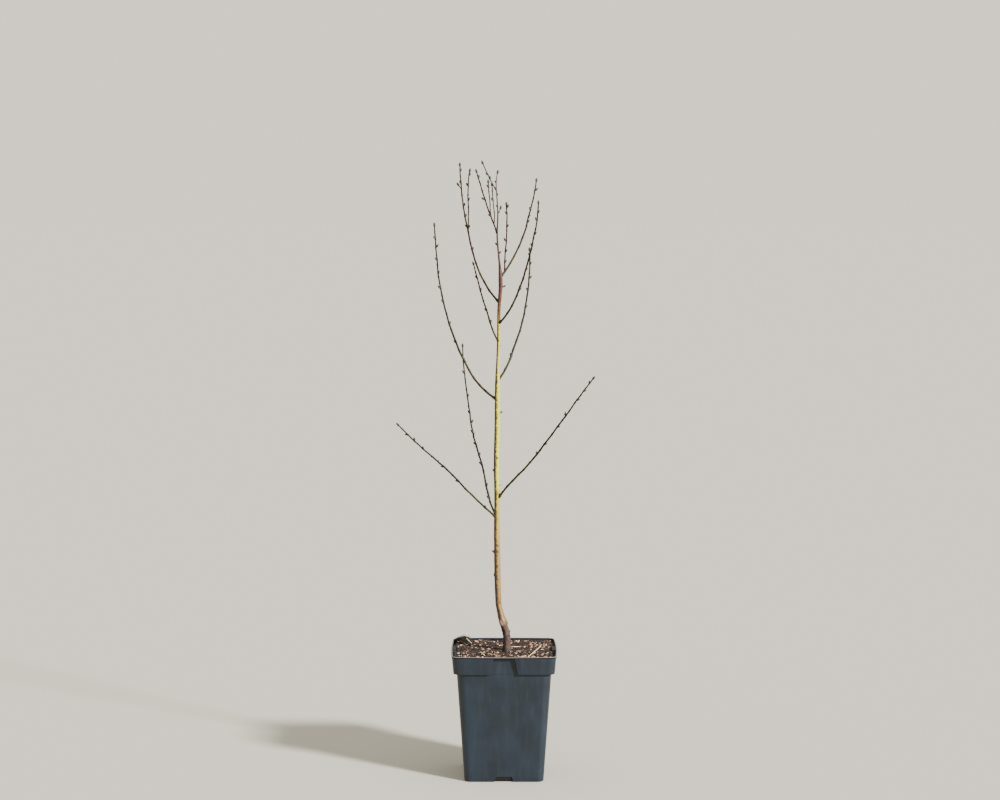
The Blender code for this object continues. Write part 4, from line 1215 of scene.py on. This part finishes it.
growth = {
    "pathSteps": 60, "collarSwell": 0.45, "collarLength": 0.005, "seed": 11, "budLean": 34, "budDepth": 0.8,
    "budLength": 0.0058, "budWidth": 0.0021, "budSunk": 0.0008, "tipBud": 1.1, "fuller": (1.15, 1.55), "spurEvery": 3,
    "spurLength": (0.0020, 0.0042), "spurRadius": 0.0008, "clearance": 0.0035, "top": 1.182, "reach": 0.215,
    "ringStep": 0.0016, "sides": 9, "nodeSwell": 0.20, "nodeLength": 0.0020, "zigzag": 0.00035,
    "fineSeed": 47, "fineStep": (0.015, 0.024), "fineTurn": 144, "fineSize": (0.32, 0.52),
    "dartEvery": 6, "dartLength": (0.004, 0.008), "dartRadius": 0.00055, "oliveShare": 0.32,
}


def heading(turn, lean):
    turn, lean = math.radians(turn), math.radians(lean)
    flat = math.sin(lean)
    return Vector((flat * math.cos(turn), flat * math.sin(turn), math.cos(lean)))


def limbPath(start, limb):
    point = Vector(start)
    path = [point.copy()]
    for step in range(growth["pathSteps"]):
        lean = between(limb["leans"], (step + 0.5) / growth["pathSteps"])
        point += heading(limb["turn"], lean) * (limb["length"] / growth["pathSteps"])
        path.append(point.copy())
    return path


def onPath(path, share):
    place = min(max(share, 0.0), 1.0) * (len(path) - 1)
    low = min(int(place), len(path) - 2)
    return path[low].lerp(path[low + 1], place - low)


def pathHeading(path, share):
    return (onPath(path, share + 0.01) - onPath(path, share - 0.01)).normalized()


def limbRadius(limb, share, surface):
    plain = limb["thick"] + (limb["thin"] - limb["thick"]) * share
    beyond = (share * limb["length"] - surface) / growth["collarLength"]
    return plain * (1 + (growth["collarSwell"] * math.exp(-beyond * beyond) if surface else 0))


def isClear(point, own, paths):
    if point.z > growth["top"] or max(abs(point.x), abs(point.y)) > growth["reach"]:
        return False
    for name, path in paths.items():
        if name != own and min((point - other).length for other in path) < growth["clearance"]:
            return False
    return True


def leaningOut(along, across):
    lean = math.radians(growth["budLean"])
    return along * math.cos(lean) + across * math.sin(lean)


def sideGrowth(own, path, limb, first, paths, draw, buds, spurs):
    # the side buds, left or right as listed, every third on a short spur
    taken = []
    for count, signed in enumerate([share for share in limb["buds"] if abs(share) > first]):
        share = abs(signed)
        along = pathHeading(path, share)
        across = Vector((math.copysign(1, signed), draw.uniform(-growth["budDepth"], growth["budDepth"]), 0))
        across = (across - along * across.dot(along)).normalized()
        out = leaningOut(along, across)
        base = onPath(path, share)
        onSpur = count % growth["spurEvery"] == growth["spurEvery"] - 1
        reach = draw.uniform(*growth["spurLength"]) if onSpur else 0.0
        root = base + across * (limbRadius(limb, share, 0) * 0.5) + out * reach
        if not isClear(root + out * growth["budLength"], own, paths):
            continue
        if onSpur:
            spurs.append((base, root, growth["spurRadius"] * 1.25, growth["spurRadius"], limb["plum"]))
            root = root - out * growth["budSunk"]
        buds.append((root, out))
        taken.append((share, across))
    return taken


def fineGrowth(own, path, limb, first, taken, paths, draw, buds, spurs):
    # smaller buds between the listed ones, round the limb in a spiral, some on a fine dart
    nodes = list(taken)
    distance = first * limb["length"] + draw.uniform(*growth["fineStep"])
    turn = draw.uniform(0, 360)
    count = 0
    while distance < limb["length"] * 0.97:
        share = distance / limb["length"]
        distance += draw.uniform(*growth["fineStep"])
        turn += growth["fineTurn"]
        size = draw.uniform(*growth["fineSize"])
        dart = draw.uniform(*growth["dartLength"])
        if any(abs(share - other) * limb["length"] < 0.006 for other, side in taken):
            continue
        along = pathHeading(path, share)
        across = Matrix.Rotation(math.radians(turn), 3, along) @ along.orthogonal().normalized()
        out = leaningOut(along, across)
        root = onPath(path, share) + across * (limbRadius(limb, share, 0) * 0.6)
        count += 1
        if not isClear(root + out * (dart + growth["budLength"]), own, paths):
            continue
        if count % growth["dartEvery"] == 0 and abs(across.x) < 0.75:
            end = root + out * dart
            spurs.append((onPath(path, share), end, growth["dartRadius"] * 1.4, growth["dartRadius"], limb["plum"]))
            root = end - out * growth["budSunk"]
        buds.append((root, out * size))
        nodes.append((share, across))
    return nodes


def rindSlot(limb, share, draw):
    # olive at the foot of the lower limbs, grey-brown beyond, plum in the crown, dealt out ring by ring
    if draw.random() < limb["plum"]:
        return 2
    return 0 if share + draw.uniform(-0.07, 0.07) < growth["oliveShare"] else 1


def growLimb(bag, limb, path, first, last, surface, nodes, draw):
    length = limb["length"]
    count = max(3, round((last - first) * length / growth["ringStep"]))
    points, radii, slots = [], [], []
    tone = rindSlot(limb, first, draw)
    for step in range(count + 1):
        share = first + (last - first) * step / count
        point = onPath(path, share)
        radius = limbRadius(limb, share, surface)
        swell = 0.0
        for other, across in nodes:
            away = (share - other) * length
            swell = max(swell, math.exp(-(away / growth["nodeLength"]) ** 2))
            point = point - across * (growth["zigzag"] * math.exp(-(away / 0.007) ** 2))
        points.append(point)
        radii.append(radius * between(growth["fuller"], share) * (1 + growth["nodeSwell"] * swell))
        if step % 5 == 0:
            tone = rindSlot(limb, share, draw)
        slots.append(tone)
    addTube(bag, points, radii, growth["sides"], slots, 0.10)


def tipBud(path, radius, buds):
    out = pathHeading(path, 1.0)
    buds.append((path[-1] - out * growth["budSunk"] * 1.5, out * growth["tipBud"]))


def makeCrown(stations):
    draw = random.Random(growth["seed"])
    fine = random.Random(growth["fineSeed"])
    paths = {"trunk": [point for point, radius in stations]}
    surfaces = {}
    for name, limb in limbs.items():
        base, trunkRadius = trunkAt(stations, limb["height"])
        paths[name] = limbPath(base, limb)
        surfaces[name] = trunkRadius / math.sin(math.radians(max(limb["leans"][0], 25)))
    for name, fork in forks.items():
        paths[name] = limbPath(onPath(paths[fork["parent"]], fork["along"]), fork)
    boughs, twigs, buds, spurs = newBag(), newBag(), [], []
    for name, limb in limbs.items():
        path, surface, bough = paths[name], surfaces[name], limb["bough"]
        start = 0.3 * surface / limb["length"]
        first = bough + pot["gap"] / limb["length"] if bough else 0.0
        taken = sideGrowth(name, path, limb, first, paths, draw, buds, spurs)
        if bough:
            early = dict(limb, buds=[share for share in limb["buds"] if abs(share) <= bough])
            taken += sideGrowth(name, path, early, 0.0, paths, fine, buds, spurs)
        begun = (surface + 0.008) / limb["length"]
        nodes = fineGrowth(name, path, limb, begun, taken, paths, fine, buds, spurs)
        if bough:
            growLimb(boughs, limb, path, start, bough, surface, nodes, fine)
            growLimb(twigs, limb, path, bough - 0.001 / limb["length"], 1.0, surface, nodes, fine)
        else:
            growLimb(twigs, limb, path, start, 1.0, surface, nodes, fine)
        tipBud(path, limb["thin"], buds)
        for forkName, fork in forks.items():
            if fork["parent"] == name:
                forkPath = paths[forkName]
                taken = sideGrowth(forkName, forkPath, fork, 0.0, paths, draw, buds, spurs)
                nodes = fineGrowth(forkName, forkPath, fork, 0.08, taken, paths, fine, buds, spurs)
                growLimb(twigs, fork, forkPath, 0.0, 1.0, 0.0, nodes, fine)
                tipBud(forkPath, fork["thin"], buds)
    carrier = upright["parent"]
    paths["upright"] = limbPath(onPath(paths[carrier], upright["along"]), upright)
    others = {key: path for key, path in paths.items() if key != carrier}
    taken = sideGrowth("upright", paths["upright"], upright, 0.0, others, draw, buds, spurs)
    nodes = fineGrowth("upright", paths["upright"], upright, 0.08, taken, others, fine, buds, spurs)
    growLimb(twigs, upright, paths["upright"], 0.0, 1.0, limbs[carrier]["thick"], nodes, fine)
    tipBud(paths["upright"], upright["thin"], buds)
    growTrunkBuds(stations, twigs, buds)
    for base, end, thick, thin, plum in spurs:
        points = [base.lerp(end, step / 4) for step in range(5)]
        slots = [2 if plum > 0.5 else 1] * 5
        addTube(twigs, points, [thick + (thin - thick) * step / 4 for step in range(5)], 7, slots, 0.12)
    return boughs, twigs, buds


def growTrunkBuds(stations, twigs, buds):
    # the buds of the trunk itself, its short spur near the top, and its end bud
    for height, turn, lean, size in trunkBuds:
        middle, radius = trunkAt(stations, height)
        reach, scar, knot = trunkPoint(math.radians(turn), height, radius)
        out = heading(turn, lean)
        buds.append((middle + heading(turn, 90) * (reach - 0.0004), out * size))
    base, radius = trunkAt(stations, leaderSpur["height"])
    path = limbPath(base, leaderSpur)
    points = [onPath(path, step / 8) for step in range(9)]
    radii = [growth["spurRadius"] * (1.3 - 0.3 * step / 8) for step in range(9)]
    addTube(twigs, points, radii, 8, [2] * 9, 0.12)
    tipBud(path, growth["spurRadius"], buds)
    tipBud([point for point, radius in stations], stations[-1][1], buds)


def makeBuds(buds):
    bag = newBag()
    bag["verts"] = [root for root, aim in buds]
    carrier = newPiece("budPlaces", bag, [])
    aims = [part for root, aim in buds for part in aim]
    carrier.data.attributes.new("aim", "FLOAT_VECTOR", "POINT").data.foreach_set("vector", aims)
    shapes = budShapes("budShape", 5, 3)
    piece = grow("buds", carrier, budTree(), {
        "Length": growth["budLength"], "Width": growth["budWidth"], "Seed": 4, "Shapes": shapes,
        "Material": budScale}, True)
    clearGroup(shapes)
    settle(piece, "twig_bark")


boughBag, twigBag, budPlaces = makeCrown(stationsUp)
rinds = [oliveRind, greyRind, plumRind]
settle(newPiece("boughRind", boughBag, rinds), "bough_bark",
       *["bough_" + name for name, limb in limbs.items() if limb["bough"]])
settle(newPiece("twigRind", twigBag, rinds), "twig_bark",
       *["twigs_" + name for name in limbs], "twigs_upright")
makeBuds(budPlaces)
print("crown done,", len(budPlaces), "buds")
